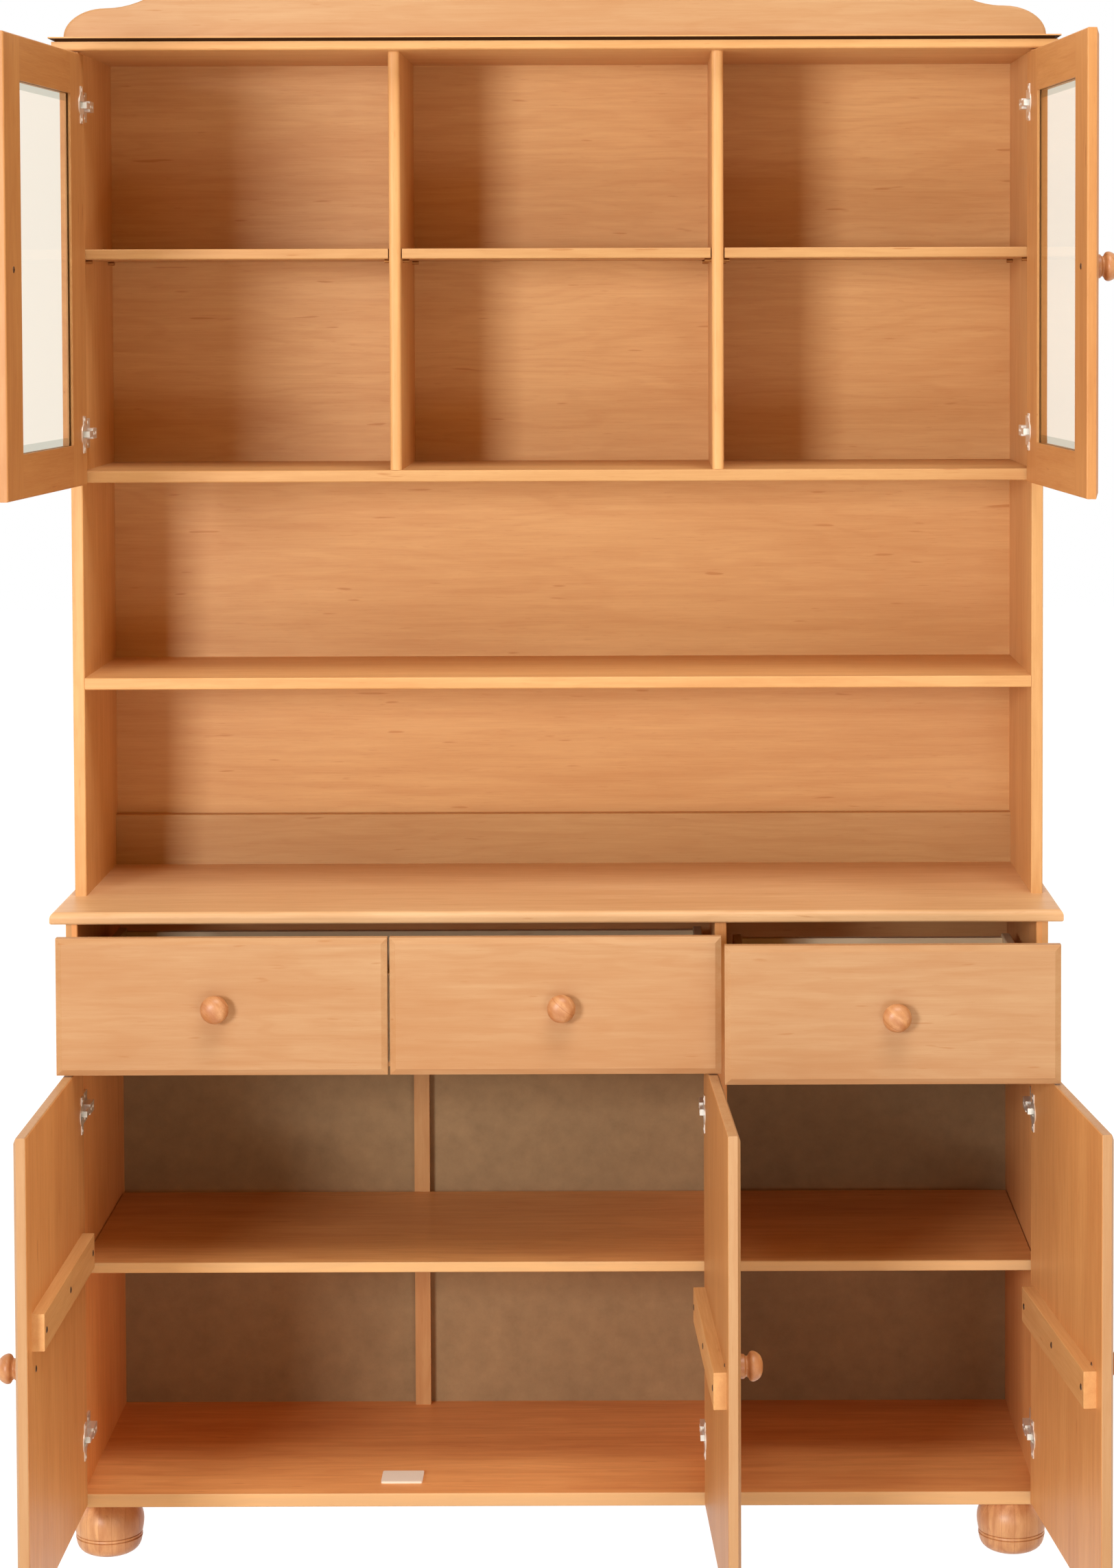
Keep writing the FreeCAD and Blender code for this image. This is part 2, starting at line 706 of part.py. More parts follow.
def cupboard_panel(hinge, angle):
    x0, x1 = door_span(hinge, front_width)
    panel = bevelled_board(x0, x1, door_z0, door_z1, front_y - door_gap, board)
    return opened(bored_for_cups(panel, hinge), hinge, angle)


def cupboard_batten(hinge, angle, z0):
    """The stiffening batten across the inner face."""
    near = hinge["edge"] + hinge["side"] * batten_hinge_inset
    far = hinge["edge"] + hinge["side"] * (front_width - batten_free_inset)
    x0, x1 = sorted((near, far))
    inner = front_y - door_gap
    batten = block(x0, x1, inner, inner + door_batten_thickness, z0, z0 + door_batten_height)
    rear = inner + door_batten_thickness
    batten = batten.makeFillet(edge_round / 2, edges_where(batten, lambda point: abs(point.y - rear) < touch))
    return opened(batten, hinge, angle)


def knob(centre, direction):
    """A turned mushroom knob: straight neck, hollow waist and domed head."""
    waist_end = knob_neck_length + knob_waist_length
    rim_start = waist_end + knob_head_shoulder
    rim_end = rim_start + knob_rim_length
    crown_start = knob_length - knob_crown_height
    outline = [(0, 0), (knob_neck_radius, 0), (knob_neck_radius, knob_neck_length),
               (knob_waist_radius, knob_neck_length + knob_waist_length / 2),
               (knob_neck_radius, waist_end), (knob_radius, rim_start), (knob_radius, rim_end),
               (knob_crown_radius, crown_start), (0, knob_length)]
    return turned(outline, centre, direction)


def cupboard_knob(hinge, angle):
    x = hinge["edge"] + hinge["side"] * (front_width - knob_free_inset)
    centre = FreeCAD.Vector(x, front_y - door_gap - board, door_mid_z)
    return opened(knob(centre, -Y), hinge, angle)


def glass_inner_y(hinge):
    return hinge["plane"] - door_gap


def glass_opening(hinge, grow=0.0):
    """Ends and height of the opening in a glass door's frame, grown on every side."""
    x0, x1 = door_span(hinge, glass_door_width)
    return (x0 + stile_width - grow, x1 - stile_width + grow,
            glass_door_z0 + frame_rail_width - grow, glass_door_z1 - frame_rail_width + grow)


def glass_frame(hinge, angle):
    """Two stiles with two rails between them, grooved for the pane."""
    x0, x1 = door_span(hinge, glass_door_width)
    inner = glass_inner_y(hinge)
    outer = inner - board
    slab = bevelled_board(x0, x1, glass_door_z0, glass_door_z1, inner, board)
    left, right, low, high = glass_opening(hinge)
    slab = slab.cut(block(left, right, outer - overcut, inner + overcut, low, high))
    groove_left, groove_right, groove_low, groove_high = glass_opening(hinge, glass_groove_depth)
    groove_rear = inner - glass_recess + joint_gap
    slab = slab.cut(block(groove_left, groove_right, groove_rear - glass_thickness - 2 * joint_gap,
                          groove_rear, groove_low, groove_high))
    slab = bored_for_cups(slab, hinge)
    spans = ((x0, left, glass_door_z0, glass_door_z1),
             (right, x1, glass_door_z0, glass_door_z1),
             (left, right, glass_door_z0, low),
             (left, right, high, glass_door_z1))
    members = [slab.common(block(west, east, outer, inner, foot, head)) for west, east, foot, head in spans]
    return [opened(member, hinge, angle) for member in members]


def glass_pane(hinge, angle):
    """A clear pane, bevelled on its outer face."""
    left, right, low, high = glass_opening(hinge, glass_groove_depth - glass_edge_gap)
    rear = glass_inner_y(hinge) - glass_recess
    outer = rear - glass_thickness
    edge = glass_groove_depth - glass_edge_gap + glass_bevel_width
    sections = [rectangle(left, right, low, high, rear),
                rectangle(left, right, low, high, outer + glass_bevel_depth),
                rectangle(left + edge, right - edge, low + edge, high - edge, outer)]
    return opened(Part.makeLoft(sections, True, True), hinge, angle)


def glass_knob(hinge, angle):
    x = hinge["edge"] + hinge["side"] * (glass_door_width - glass_knob_free_inset)
    centre = FreeCAD.Vector(x, glass_inner_y(hinge) - board, glass_door_z1 - glass_knob_drop)
    return opened(knob(centre, -Y), hinge, angle)


# ---------------------------------------------------------------- drawers
box_front = front_y - drawer_gap
box_rear = box_front + box_length
box_z1 = box_z0 + box_side_height
bottom_z0 = box_z0 + box_bottom_rise
bottom_z1 = bottom_z0 + hardboard


def box_ends(bay):
    return (bay[0] + box_side_gap, bay[1] - box_side_gap)


def drawer_front(index, pull):
    """index 0 to 2 counts the fronts from the left."""
    x0 = -base_half + front_reveal + index * (front_width + front_gap)
    front = bevelled_board(x0, x0 + front_width, drawer_z0, drawer_z1, box_front, drawer_front_thickness)
    return pulled(front, pull)


def drawer_knob(index, pull):
    middle = -base_half + front_reveal + index * (front_width + front_gap) + front_width / 2
    centre = FreeCAD.Vector(middle + drawer_knob_shifts[index], box_front - drawer_front_thickness, drawer_mid_z)
    return pulled(knob(centre, -Y), pull)


def bottom_groove(x0, x1):
    return block(x0, x1, box_front - overcut, box_rear + overcut, bottom_z0 - joint_gap, bottom_z1 + joint_gap)


def box_sides(bay, pull):
    """Both sides of a box, each with a groove for its runner outside and for the bottom inside."""
    x0, x1 = box_ends(bay)
    sides = []
    for outer, direction in ((x0, 1), (x1, -1)):
        inner = outer + direction * box_side_thickness
        low, high = sorted((outer, inner))
        side = block(low, high, box_front, box_rear, box_z0, box_z1)
        top = [edge for edge in side.Edges if all(abs(vertex.Z - box_z1) < touch for vertex in edge.Vertexes)
               and abs(edge.Vertexes[0].Y - edge.Vertexes[1].Y) > touch]
        side = side.makeFillet(edge_round, top)
        g0, g1 = sorted((outer - direction * overcut, outer + direction * runner_groove_depth))
        side = side.cut(block(g0, g1, box_front + runner_front_inset / 2, box_rear + overcut,
                              runner_z - runner_height / 2 - runner_clearance,
                              runner_z + runner_height / 2 + runner_clearance))
        b0, b1 = sorted((inner - direction * bottom_groove_depth, inner + direction * overcut))
        sides.append(pulled(side.cut(bottom_groove(b0, b1)), pull))
    return sides


def box_inside(bay):
    x0, x1 = box_ends(bay)
    return (x0 + box_side_thickness, x1 - box_side_thickness)


def box_end_board(bay, y0, z0, pull, drop):
    x0, x1 = box_inside(bay)
    board_shape = block(x0, x1, y0, y0 + box_side_thickness, z0, box_z1 - drop)
    return pulled(board_shape, pull)


def box_back(bay, pull):
    """The back board stands on the bottom panel and is a little lower than the sides."""
    return box_end_board(bay, box_rear - box_side_thickness, bottom_z1 + joint_gap, pull, box_back_drop)


def box_inner_front(bay, pull):
    """The board that both fronts of the wide drawer are screwed to, grooved for the bottom."""
    x0, x1 = box_inside(bay)
    panel = block(x0, x1, box_front, box_front + box_side_thickness, box_z0, box_z1)
    y0 = box_front + box_side_thickness - bottom_groove_depth
    y1 = box_front + box_side_thickness + overcut
    slot = block(x0 - overcut, x1 + overcut, y0, y1, bottom_z0 - joint_gap, bottom_z1 + joint_gap)
    return pulled(panel.cut(slot), pull)


def box_bottom(bay, pull, front):
    x0, x1 = box_inside(bay)
    reach = bottom_groove_depth - bottom_edge_gap
    return pulled(block(x0 - reach, x1 + reach, front, box_rear, bottom_z0, bottom_z1), pull)


def drawer_runners():
    """Hardwood strips on the boards beside each drawer, one in each groove."""
    strips = []
    reach = box_side_gap + runner_bite
    for x0, x1 in base_bays():
        for low, high in ((x0, x0 + reach), (x1 - reach, x1)):
            strips.append(block(low, high, front_y + runner_front_inset,
                                front_y + runner_front_inset + runner_length,
                                runner_z - runner_height / 2, runner_z + runner_height / 2))
    return strips


# ---------------------------------------------------------------- the nodes
wide_bay, single_bay = base_bays()
over_shelf_z = base_shelf_z + shelf_board + batten_over_shelf
under_shelf_z = base_shelf_z - batten_under_shelf - door_batten_height
foot_x = base_half - foot_side_inset
foot_front_y = front_y + foot_front_inset
foot_rear_y = back_face - foot_front_inset
inner_front_rear = box_front + box_side_thickness - bottom_groove_depth + joint_gap

nodes = {
    "worktop": [worktop()],
    "base_side_left": [base_side(-1)],
    "base_side_right": [base_side(1)],
    "base_partition": [base_partition()],
    "base_floor": [base_floor()],
    "base_shelf_wide": [base_shelf(wide_bay)],
    "base_shelf_right": [base_shelf(single_bay)],
    "base_rails": base_rails(),
    "base_back_panels": base_back_panels(),
    "back_batten": [back_batten()],
    "feet": feet(),
    "drawer_runners": drawer_runners(),
    "shelf_pegs": sum(base_pegs().values(), []) + sum(hutch_pegs().values(), []),
    "floor_cover_plate": [floor_cover_plate()],
    "hutch_side_left": [hutch_side(-1)],
    "hutch_side_right": [hutch_side(1)],
    "hutch_cornice_board": [cornice_board()],
    "hutch_pediment": [pediment()],
    "hutch_divider_left": [hutch_divider(-1)],
    "hutch_divider_right": [hutch_divider(1)],
    "hutch_shelf_lower": [full_shelf(lower_shelf_z)],
    "hutch_shelf_fixed": [full_shelf(fixed_shelf_z)],
    "hutch_shelves_loose": loose_shelves(),
    "hutch_back_panel": [hutch_back_panel()],
    "hutch_back_rail": [hutch_back_rail()],
    "hinge_arms": hinge_arms(),
    "wide_drawer_front_left": [drawer_front(0, wide_drawer_pull)],
    "wide_drawer_front_right": [drawer_front(1, wide_drawer_pull)],
    "wide_drawer_sides": box_sides(wide_bay, wide_drawer_pull),
    "wide_drawer_end_boards": [box_inner_front(wide_bay, wide_drawer_pull),
                               box_back(wide_bay, wide_drawer_pull)],
    "wide_drawer_bottom": [box_bottom(wide_bay, wide_drawer_pull, inner_front_rear)],
    "wide_drawer_knobs": [drawer_knob(0, wide_drawer_pull), drawer_knob(1, wide_drawer_pull)],
    "right_drawer_front": [drawer_front(2, right_drawer_pull)],
    "right_drawer_sides": box_sides(single_bay, right_drawer_pull),
    "right_drawer_back": [box_back(single_bay, right_drawer_pull)],
    "right_drawer_bottom": [box_bottom(single_bay, right_drawer_pull, box_front + joint_gap)],
    "right_drawer_knob": [drawer_knob(2, right_drawer_pull)],
}

cupboard_doors = (
    ("left_cupboard", left_cupboard_hinge, left_cupboard_open, over_shelf_z),
    ("middle_cupboard", middle_cupboard_hinge, middle_cupboard_open, under_shelf_z),
    ("right_cupboard", right_cupboard_hinge, right_cupboard_open, under_shelf_z),
)
for name, hinge, angle, batten_z in cupboard_doors:
    nodes[name + "_door"] = [cupboard_panel(hinge, angle)]
    nodes[name + "_batten"] = [cupboard_batten(hinge, angle, batten_z)]
    nodes[name + "_knob"] = [cupboard_knob(hinge, angle)]
    nodes[name + "_hinge_cups"] = hinge_cups(hinge, angle)

glass_doors = (
    ("left_glass", left_glass_hinge, left_glass_open),
    ("right_glass", right_glass_hinge, right_glass_open),
)
for name, hinge, angle in glass_doors:
    nodes[name + "_frame"] = glass_frame(hinge, angle)
    nodes[name + "_pane"] = [glass_pane(hinge, angle)]
    nodes[name + "_knob"] = [glass_knob(hinge, angle)]
    nodes[name + "_hinge_cups"] = hinge_cups(hinge, angle)

os.makedirs("parts", exist_ok=True)
for name, pieces in nodes.items():
    shape = pieces[0] if len(pieces) == 1 else Part.makeCompound(pieces)
    shape.exportStep("parts/" + name + ".step")
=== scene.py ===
import json
import math

import bpy
from bpy.props import FloatProperty, FloatVectorProperty, IntProperty, PointerProperty
from mathutils import Matrix, Vector


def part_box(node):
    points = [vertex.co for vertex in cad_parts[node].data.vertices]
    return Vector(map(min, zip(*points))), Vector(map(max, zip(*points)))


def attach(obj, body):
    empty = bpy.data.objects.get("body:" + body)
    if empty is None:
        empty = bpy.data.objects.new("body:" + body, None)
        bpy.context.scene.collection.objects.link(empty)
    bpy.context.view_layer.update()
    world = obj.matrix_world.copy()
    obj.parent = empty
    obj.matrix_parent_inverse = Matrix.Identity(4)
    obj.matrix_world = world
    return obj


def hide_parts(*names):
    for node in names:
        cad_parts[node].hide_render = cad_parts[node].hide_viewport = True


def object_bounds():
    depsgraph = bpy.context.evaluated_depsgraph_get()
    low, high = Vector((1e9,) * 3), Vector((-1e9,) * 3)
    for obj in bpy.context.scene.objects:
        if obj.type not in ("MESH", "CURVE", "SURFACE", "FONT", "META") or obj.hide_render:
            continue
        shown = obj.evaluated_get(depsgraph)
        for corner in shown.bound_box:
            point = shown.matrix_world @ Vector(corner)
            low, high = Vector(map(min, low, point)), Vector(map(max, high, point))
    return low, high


bl_info = {
    "name": "Dresser with hutch",
    "version": (1, 0, 0),
    "blender": (4, 5, 0),
    "location": "View3D > Sidebar > Dresser",
    "description": "Dresses the frame of a pine dresser: turned feet and knobs, screws and finishes",
    "category": "Object",
}

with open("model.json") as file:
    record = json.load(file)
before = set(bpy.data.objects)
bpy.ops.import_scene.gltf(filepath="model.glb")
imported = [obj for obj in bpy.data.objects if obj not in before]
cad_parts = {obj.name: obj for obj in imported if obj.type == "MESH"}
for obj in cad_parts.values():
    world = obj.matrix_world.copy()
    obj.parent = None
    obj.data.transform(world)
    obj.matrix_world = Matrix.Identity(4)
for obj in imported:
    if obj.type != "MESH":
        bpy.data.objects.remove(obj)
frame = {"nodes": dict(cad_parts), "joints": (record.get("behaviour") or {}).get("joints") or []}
cad_box = [list(corner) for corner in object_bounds()]
joints = {joint["name"]: joint for joint in frame["joints"]}

UP = Vector((0, 0, 1))
RIGHT = Vector((1, 0, 0))
FRONT = Vector((0, -1, 0))
BACK = Vector((0, 1, 0))
MM = 0.001

# ---------------------------------------------------------------- where the details sit
FLANGE_HALF = 25 * MM  # half the height of the flange of a hinge cup
FLANGE_SCREW_RISE = 20 * MM  # from the middle of a flange to each of its screws
PLATE_SETBACK = 28.5 * MM  # from the front edge of a side to the middle of a mounting plate
PLATE_THICKNESS = 3 * MM
PLATE_SCREW_RISE = 15 * MM  # from the middle of a plate to each of its screws
BLOCK_REACH = 17 * MM  # from the hinge pin to the face of the block on a plate
BLOCK_SCREW_SETBACK = 8 * MM  # from the middle of a block to each of its screws
HINGE_SCREW_RADIUS = 3.0 * MM
WOOD_SCREW_RADIUS = 4.2 * MM
BATTEN_SCREW_INSET = 14 * MM  # from the end of a batten to its outer screw
STILE_WIDTH = 80 * MM  # of the glass doors
# Painted reflection: the glass in this band round a pane is painted greyer.
GLASS_BEVEL = 18 * MM  # width of the polished bevel round a pane
# The cornice groove's shade is painted: the band between these edges is painted dark, as painted shade.
CORNICE_GROOVE_SHADE = (6.2 * MM, 1.8 * MM)  # its lower and upper edge, below the top of the board
# Painted light: a cupboard shelf's front edge, where the light falls, is painted paler than its top.
PAINTED_LIT_EDGE = 1.5 * MM  # how deep the pale front edge of a cupboard shelf goes


# ---------------------------------------------------------------- settings
def srgb(code):
    """A hex colour such as "E2AC78" as linear red, green, blue and an alpha of one."""
    parts = [int(code[i:i + 2], 16) / 255 for i in (0, 2, 4)]
    return tuple(c / 12.92 if c <= 0.04045 else ((c + 0.055) / 1.055) ** 2.4 for c in parts) + (1.0,)


def colour_setting(name, description, code):
    return FloatVectorProperty(name=name, description=description, subtype="COLOR", size=4,
                               min=0, max=1, default=srgb(code))


def length_setting(name, description, millimetres):
    return FloatProperty(name=name, description=description, default=millimetres * MM, min=0,
                         subtype="DISTANCE", unit="LENGTH")


def power_setting(name, description, watts):
    return FloatProperty(name=name, description=description, default=watts, min=0, unit="POWER")


class DresserColours(bpy.types.PropertyGroup):
    pine_light: colour_setting("Pine, early wood", "Honey stained wood between the rings", "E5B379")
    pine_dark: colour_setting("Pine, late wood", "The ring lines and the streaks", "BA7439")
    front_light: colour_setting("Fronts, early wood", "Boards of the drawers, the pediment and the "
                                "outside of the cupboard doors", "C79F76")
    front_dark: colour_setting("Fronts, late wood", "Ring lines and streaks of the fronts", "AE7443")
    turned_light: colour_setting("Turned pine, pale", "Palest wood of the feet and knobs", "EAB680")
    turned_dark: colour_setting("Turned pine, dark", "Darkest wood of the feet and knobs", "AC683A")
    # The cupboard colours hold painted light as well as the wood's own tone: redder and brighter, to
    # stand in for the warm light bounced round the shaded cupboard insides and the inner faces of the
    # doors.
    shelf_light: colour_setting("Cupboard, early wood", "Redder boards inside the cupboards", "F4B472")
    shelf_dark: colour_setting("Cupboard, late wood", "Ring lines and streaks of these", "C0703A")
    # The worktop colours are paler for painted sheen: partly the wood's tone and partly the lacquer's
    # shine painted in.
    top_light: colour_setting("Worktop, early wood", "The paler boards of the worktop", "EAC092")
    top_dark: colour_setting("Worktop, late wood", "Ring lines and streaks of the worktop", "C48A54")
    # The bare colours are paler than bare pine: partly the wood's tone and partly painted light, for
    # drawer boxes that lie in the shade under the worktop.
    bare_light: colour_setting("Bare pine, early wood", "Planed drawer boxes without stain", "FFE6C0")
    bare_dark: colour_setting("Bare pine, late wood", "Ring lines of the drawer boxes", "E6BE8C")
    hardboard_light: colour_setting("Hardboard, pale", "Palest fibres of the backs", "AA885E")
    hardboard_dark: colour_setting("Hardboard, dark", "Darkest fibres of the backs", "8E704B")
    nickel: colour_setting("Nickel", "Plated steel of the hinges", "F2ECE0")
    brass: colour_setting("Brass", "Plating of the shelf pegs", "B07A44")
    plastic: colour_setting("Plastic", "Cream cover plate", "F1E8DA")
    screw: colour_setting("Screw", "Darkened steel screw heads", "6A5240")
    # The warm tint of the panes is partly the glass's own and partly painted reflection of the wood;
    # the greyer tint of the bevel is painted reflection.
    glass: colour_setting("Glass", "Faint tint of the panes", "FFF7E8")
    bevel: colour_setting("Glass bevel", "Tint of the polished bevel round a pane", "DCDACB")
    # Painted shade: the cornice groove is painted in this dark colour to stand for the shade inside it.
    shade: colour_setting("Groove", "Shade painted in the groove of the cornice", "46260C")


class DresserTurnings(bpy.types.PropertyGroup):
    foot_radius: length_setting("Foot", "Radius of the belly of a foot", 46.5)
    foot_rim_radius: length_setting("Foot bead", "Radius of the bead between the two grooves", 45.0)
    foot_tread_radius: length_setting("Foot tread", "Radius of the flat that stands on the floor", 26.0)
    foot_neck_radius: length_setting("Foot neck", "Radius of the neck below the cupboard floor", 37.0)
    groove: length_setting("Groove", "Width and depth of a groove in a foot", 2.0)
    knob_radius: length_setting("Knob", "Radius of the head of a knob", 18.5)
    knob_neck_radius: length_setting("Knob neck", "Radius of the neck against the door", 15.0)
    knob_waist_radius: length_setting("Knob waist", "Radius of the hollow behind the head", 12.5)
    foot_sides: IntProperty(name="Foot sides", description="Faces around a foot", default=96, min=16)
    knob_sides: IntProperty(name="Knob sides", description="Faces around a knob", default=56, min=16)


class DresserStudio(bpy.types.PropertyGroup):
    key_power: power_setting("Key light", "Soft light at the front left", 223.0)
    key_colour: colour_setting("Key colour", "Daylight of the key light", "F6FAFF")
    top_power: power_setting("Top light", "Large soft light overhead", 190.0)
    low_power: power_setting("Low light", "Small soft light into the cupboards", 8.0)
    rear_power: power_setting("Rear light", "Soft light on the back", 110.0)
    side_power: power_setting("Side lights", "Soft light on each side", 45.0)
    sky: FloatProperty(name="Sky", description="Strength of the even light from all round",
                       default=0.38, min=0)
    sky_colour: colour_setting("Sky colour", "Warm bounce of the studio walls", "FFCD52")
    focal_length: FloatProperty(name="Focal length", description="Camera lens in millimetres",
                                default=82.16, min=1, subtype="DISTANCE_CAMERA")


# ---------------------------------------------------------------- modelling helpers
def deselect_all():
    bpy.ops.object.select_all(action="DESELECT")


def only(piece):
    """Select one piece alone and make it the active one."""
    deselect_all()
    piece.select_set(True)
    bpy.context.view_layer.objects.active = piece


def span(node, direction):
    """Lowest and highest distance of a CAD node along a direction."""
    reach = [vertex.co.dot(direction) for vertex in frame["nodes"][node].data.vertices]
    return min(reach), max(reach)


def middle(node, direction):
    low, high = span(node, direction)
    return (low + high) / 2


def place_active():
    """Bake the active object's place into its mesh, so that its object sits at the origin."""
    bpy.ops.object.transform_apply(location=True, rotation=True, scale=True)


def turned(outline, base, axis, sides):
    """A turned piece: a disc drawn out ring by ring along its axis and closed at the far end.
    outline lists (radius, height) from the base; the last ring is drawn together to a point."""
    deselect_all()
    tilt = UP.rotation_difference(axis).to_euler()
    start_radius, start_height = outline[0]
    bpy.ops.mesh.primitive_circle_add(vertices=sides, radius=start_radius, fill_type="NGON",
                                      location=base + axis * start_height, rotation=tilt)
    bpy.ops.object.mode_set(mode="EDIT")
    for (radius, height), (next_radius, next_height) in zip(outline, outline[1:]):
        step = axis * (next_height - height)
        bpy.ops.mesh.extrude_region_move(TRANSFORM_OT_translate={"value": step})
        share = next_radius / radius
        bpy.ops.transform.resize(value=(share, share, share), center_override=base + axis * next_height)
    bpy.ops.mesh.merge(type="CENTER")
    bpy.ops.mesh.select_all(action="SELECT")
    bpy.ops.mesh.normals_make_consistent(inside=False)
    bpy.ops.object.mode_set(mode="OBJECT")
    bpy.ops.object.shade_smooth_by_angle(angle=math.radians(40))
    place_active()
    return bpy.context.object


def rounded(start, end, bow, steps):
    """Points of a round stretch from start to end that stands off its chord by bow."""
    chord = Vector((end[0] - start[0], end[1] - start[1]))
    outward = Vector((chord.y, -chord.x)).normalized()
    points = []
    for step in range(1, steps + 1):
        share = step / steps
        place = Vector(start) + chord * share + outward * bow * math.sin(math.pi * share)
        points.append((place.x, place.y))
    return points


def joined(pieces):
    only(pieces[0])
    for piece in pieces:
        piece.select_set(True)
    if len(pieces) > 1:
        bpy.ops.object.join()
    return bpy.context.object


def copied(pattern, place, axis):
    """A copy of a pattern piece that was modelled at the origin along +Z, with its own mesh."""
    only(pattern)
    bpy.ops.object.duplicate(linked=False)
    piece = bpy.context.object
    piece.rotation_euler = UP.rotation_difference(axis).to_euler()
    piece.location = place
    place_active()
    return piece


def removed(piece):
    only(piece)
    bpy.ops.object.delete()


def finish_piece(piece, name, body, material, replaces=()):
    piece.name = name
    piece.data.name = name
    piece.data.materials.clear()
    piece.data.materials.append(material)
    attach(piece, body)
    for node in replaces:
        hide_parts(node)


# ---------------------------------------------------------------- where the doors stand
class Door:
    """A door's own nodes, directions and hinge heights, read from the frame at rest. A cupboard door
    is a board with a batten, and a glass door a frame with a pane and no batten."""

    def __init__(self, name, carrier, panel, batten=None):
        joint = joints[name + "_door_hinge"]
        self.name = name
        self.body = name + "_door"
        self.carrier = carrier
        self.panel = panel
        self.batten = batten
        self.pane = name + "_pane"
        self.knob = name + "_knob"
        self.cups = name + "_hinge_cups"
        self.pin = Vector(joint["pos_m"])
        self.turn = math.radians(-joint["range_deg"][0]) * joint["axis"][2]
        self.side = -joint["axis"][2]
        self.spun = Matrix.Rotation(self.turn, 3, "Z")
        self.along = self.spun @ Vector((self.side, 0, 0))
        self.inward = self.spun @ BACK
        low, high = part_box(self.cups)
        self.hinge_heights = (low.z + FLANGE_HALF, high.z - FLANGE_HALF)


DOORS = (
    Door("left_cupboard", "base_side_left", "left_cupboard_door", "left_cupboard_batten"),
    Door("middle_cupboard", "base_partition", "middle_cupboard_door", "middle_cupboard_batten"),
    Door("right_cupboard", "base_side_right", "right_cupboard_door", "right_cupboard_batten"),
    Door("left_glass", "hutch_side_left", "left_glass_frame"),
    Door("right_glass", "hutch_side_right", "right_glass_frame"),
)


# ---------------------------------------------------------------- material helpers
# The mix node has a set of sockets for each kind of data. These are the numbers of those for colours.
SHARE, FIRST, SECOND, BLEND = 0, 6, 7, 2


def add(tree, kind, links=None, stops=(), **settings):
    """Add a node with its settings. links gives each input a value or the output that feeds it, and
    stops gives a colour ramp its positions and colours."""
    node = tree.nodes.new(kind)
    for setting, value in settings.items():
        setattr(node, setting, value)
    for socket, value in (links or {}).items():
        if isinstance(value, bpy.types.NodeSocket):
            tree.links.new(value, node.inputs[socket])
        else:
            node.inputs[socket].default_value = value
    for number, (position, colour) in enumerate(stops):
        node.color_ramp.elements[number].position = position
        node.color_ramp.elements[number].color = colour
    return node


def blank(name):
    material = bpy.data.materials.new(name)
    material.use_nodes = True
    material.node_tree.nodes.clear()
    return material, material.node_tree


def surfaced(material, sockets):
    """End a material in one surface with these values and colours."""
    surface = add(material.node_tree, "ShaderNodeBsdfPrincipled", sockets)
    add(material.node_tree, "ShaderNodeOutputMaterial", {"Surface": surface.outputs["BSDF"]})
    return material


def grey(level):
    return (level, level, level, 1.0)


def between(tree, place, axis, low, high):
    """One where a place lies between two limits along an axis, and zero elsewhere."""
    along = add(tree, "ShaderNodeSeparateXYZ", {"Vector": place}).outputs[axis]
    return add(tree, "ShaderNodeMath", {0: along, 1: (low + high) / 2, 2: (high - low) / 2},
               operation="COMPARE").outputs[0]


# ---------------------------------------------------------------- pine
SATIN = 0.12  # weight of the satin lacquer on the boards
POLISHED = 0.2  # and of the thicker coat on the worktop
COAT_ROUGHNESS = 0.35
WOOD_SPECULAR = 0.2  # the lacquer carries the shine, so the wood below it has little
FIBRE_RISE = 0.08  # how strongly the fibres stand up, and how high
FIBRE_HEIGHT = 0.2 * MM
RING_WIDTH = 22 * MM  # spacing of the year rings on a flat-sawn board
RING_SWAY = 0.2  # how far the drift pushes the rings aside, in metres for a drift of one

# The layers of the figure. Each is noise drawn out along the grain: how often it repeats in a metre
# along the grain and across it, its detail, its roughness, and the limits that its contrast fills.
PINE_LAYERS = {
    "tone": (2.2, 12.0, 3.0, 0.55, 0.30, 0.70),      # soft clouds 80 mm wide
    "bands": (4.5, 85.0, 4.0, 0.60, 0.36, 0.68),     # streaks 12 mm wide
    "fibres": (14.0, 520.0, 4.0, 0.65, 0.34, 0.66),  # 2 mm apart, as real fibres are too fine to show
    "dashes": (42.0, 560.0, 2.0, 0.50, 0.62, 0.74),  # resin ducts, drawn 2 mm wide so that they show
    "knots": (17.0, 150.0, 1.0, 0.30, 0.75, 0.80),   # pin knots 7 mm across
}
RING_DRIFT = (1.3, 9.0, 3.0, 0.60)                   # slow sway of the rings, 110 mm wide


def drawn_out(tree, place, grain, along, across, detail, roughness):
    """Noise drawn out along the grain."""
    scale = [across, across, across]
    scale["XYZ".index(grain)] = along
    stretched = add(tree, "ShaderNodeVectorMath", {0: place, 1: scale}, operation="MULTIPLY")
    return add(tree, "ShaderNodeTexNoise", {"Vector": stretched.outputs[0], "Scale": 1.0,
                                            "Detail": detail, "Roughness": roughness}).outputs["Fac"]


def pine_layers(tree, place, grain, *names):
    """Layers of the figure by name, each from 0 to 1."""
    layers = []
    for *look, low, high in (PINE_LAYERS[name] for name in names):
        layer = add(tree, "ShaderNodeValToRGB", {"Fac": drawn_out(tree, place, grain, *look)},
                    stops=((low, grey(0.0)), (high, grey(1.0))))
        layers.append(layer.outputs["Color"])
    return layers


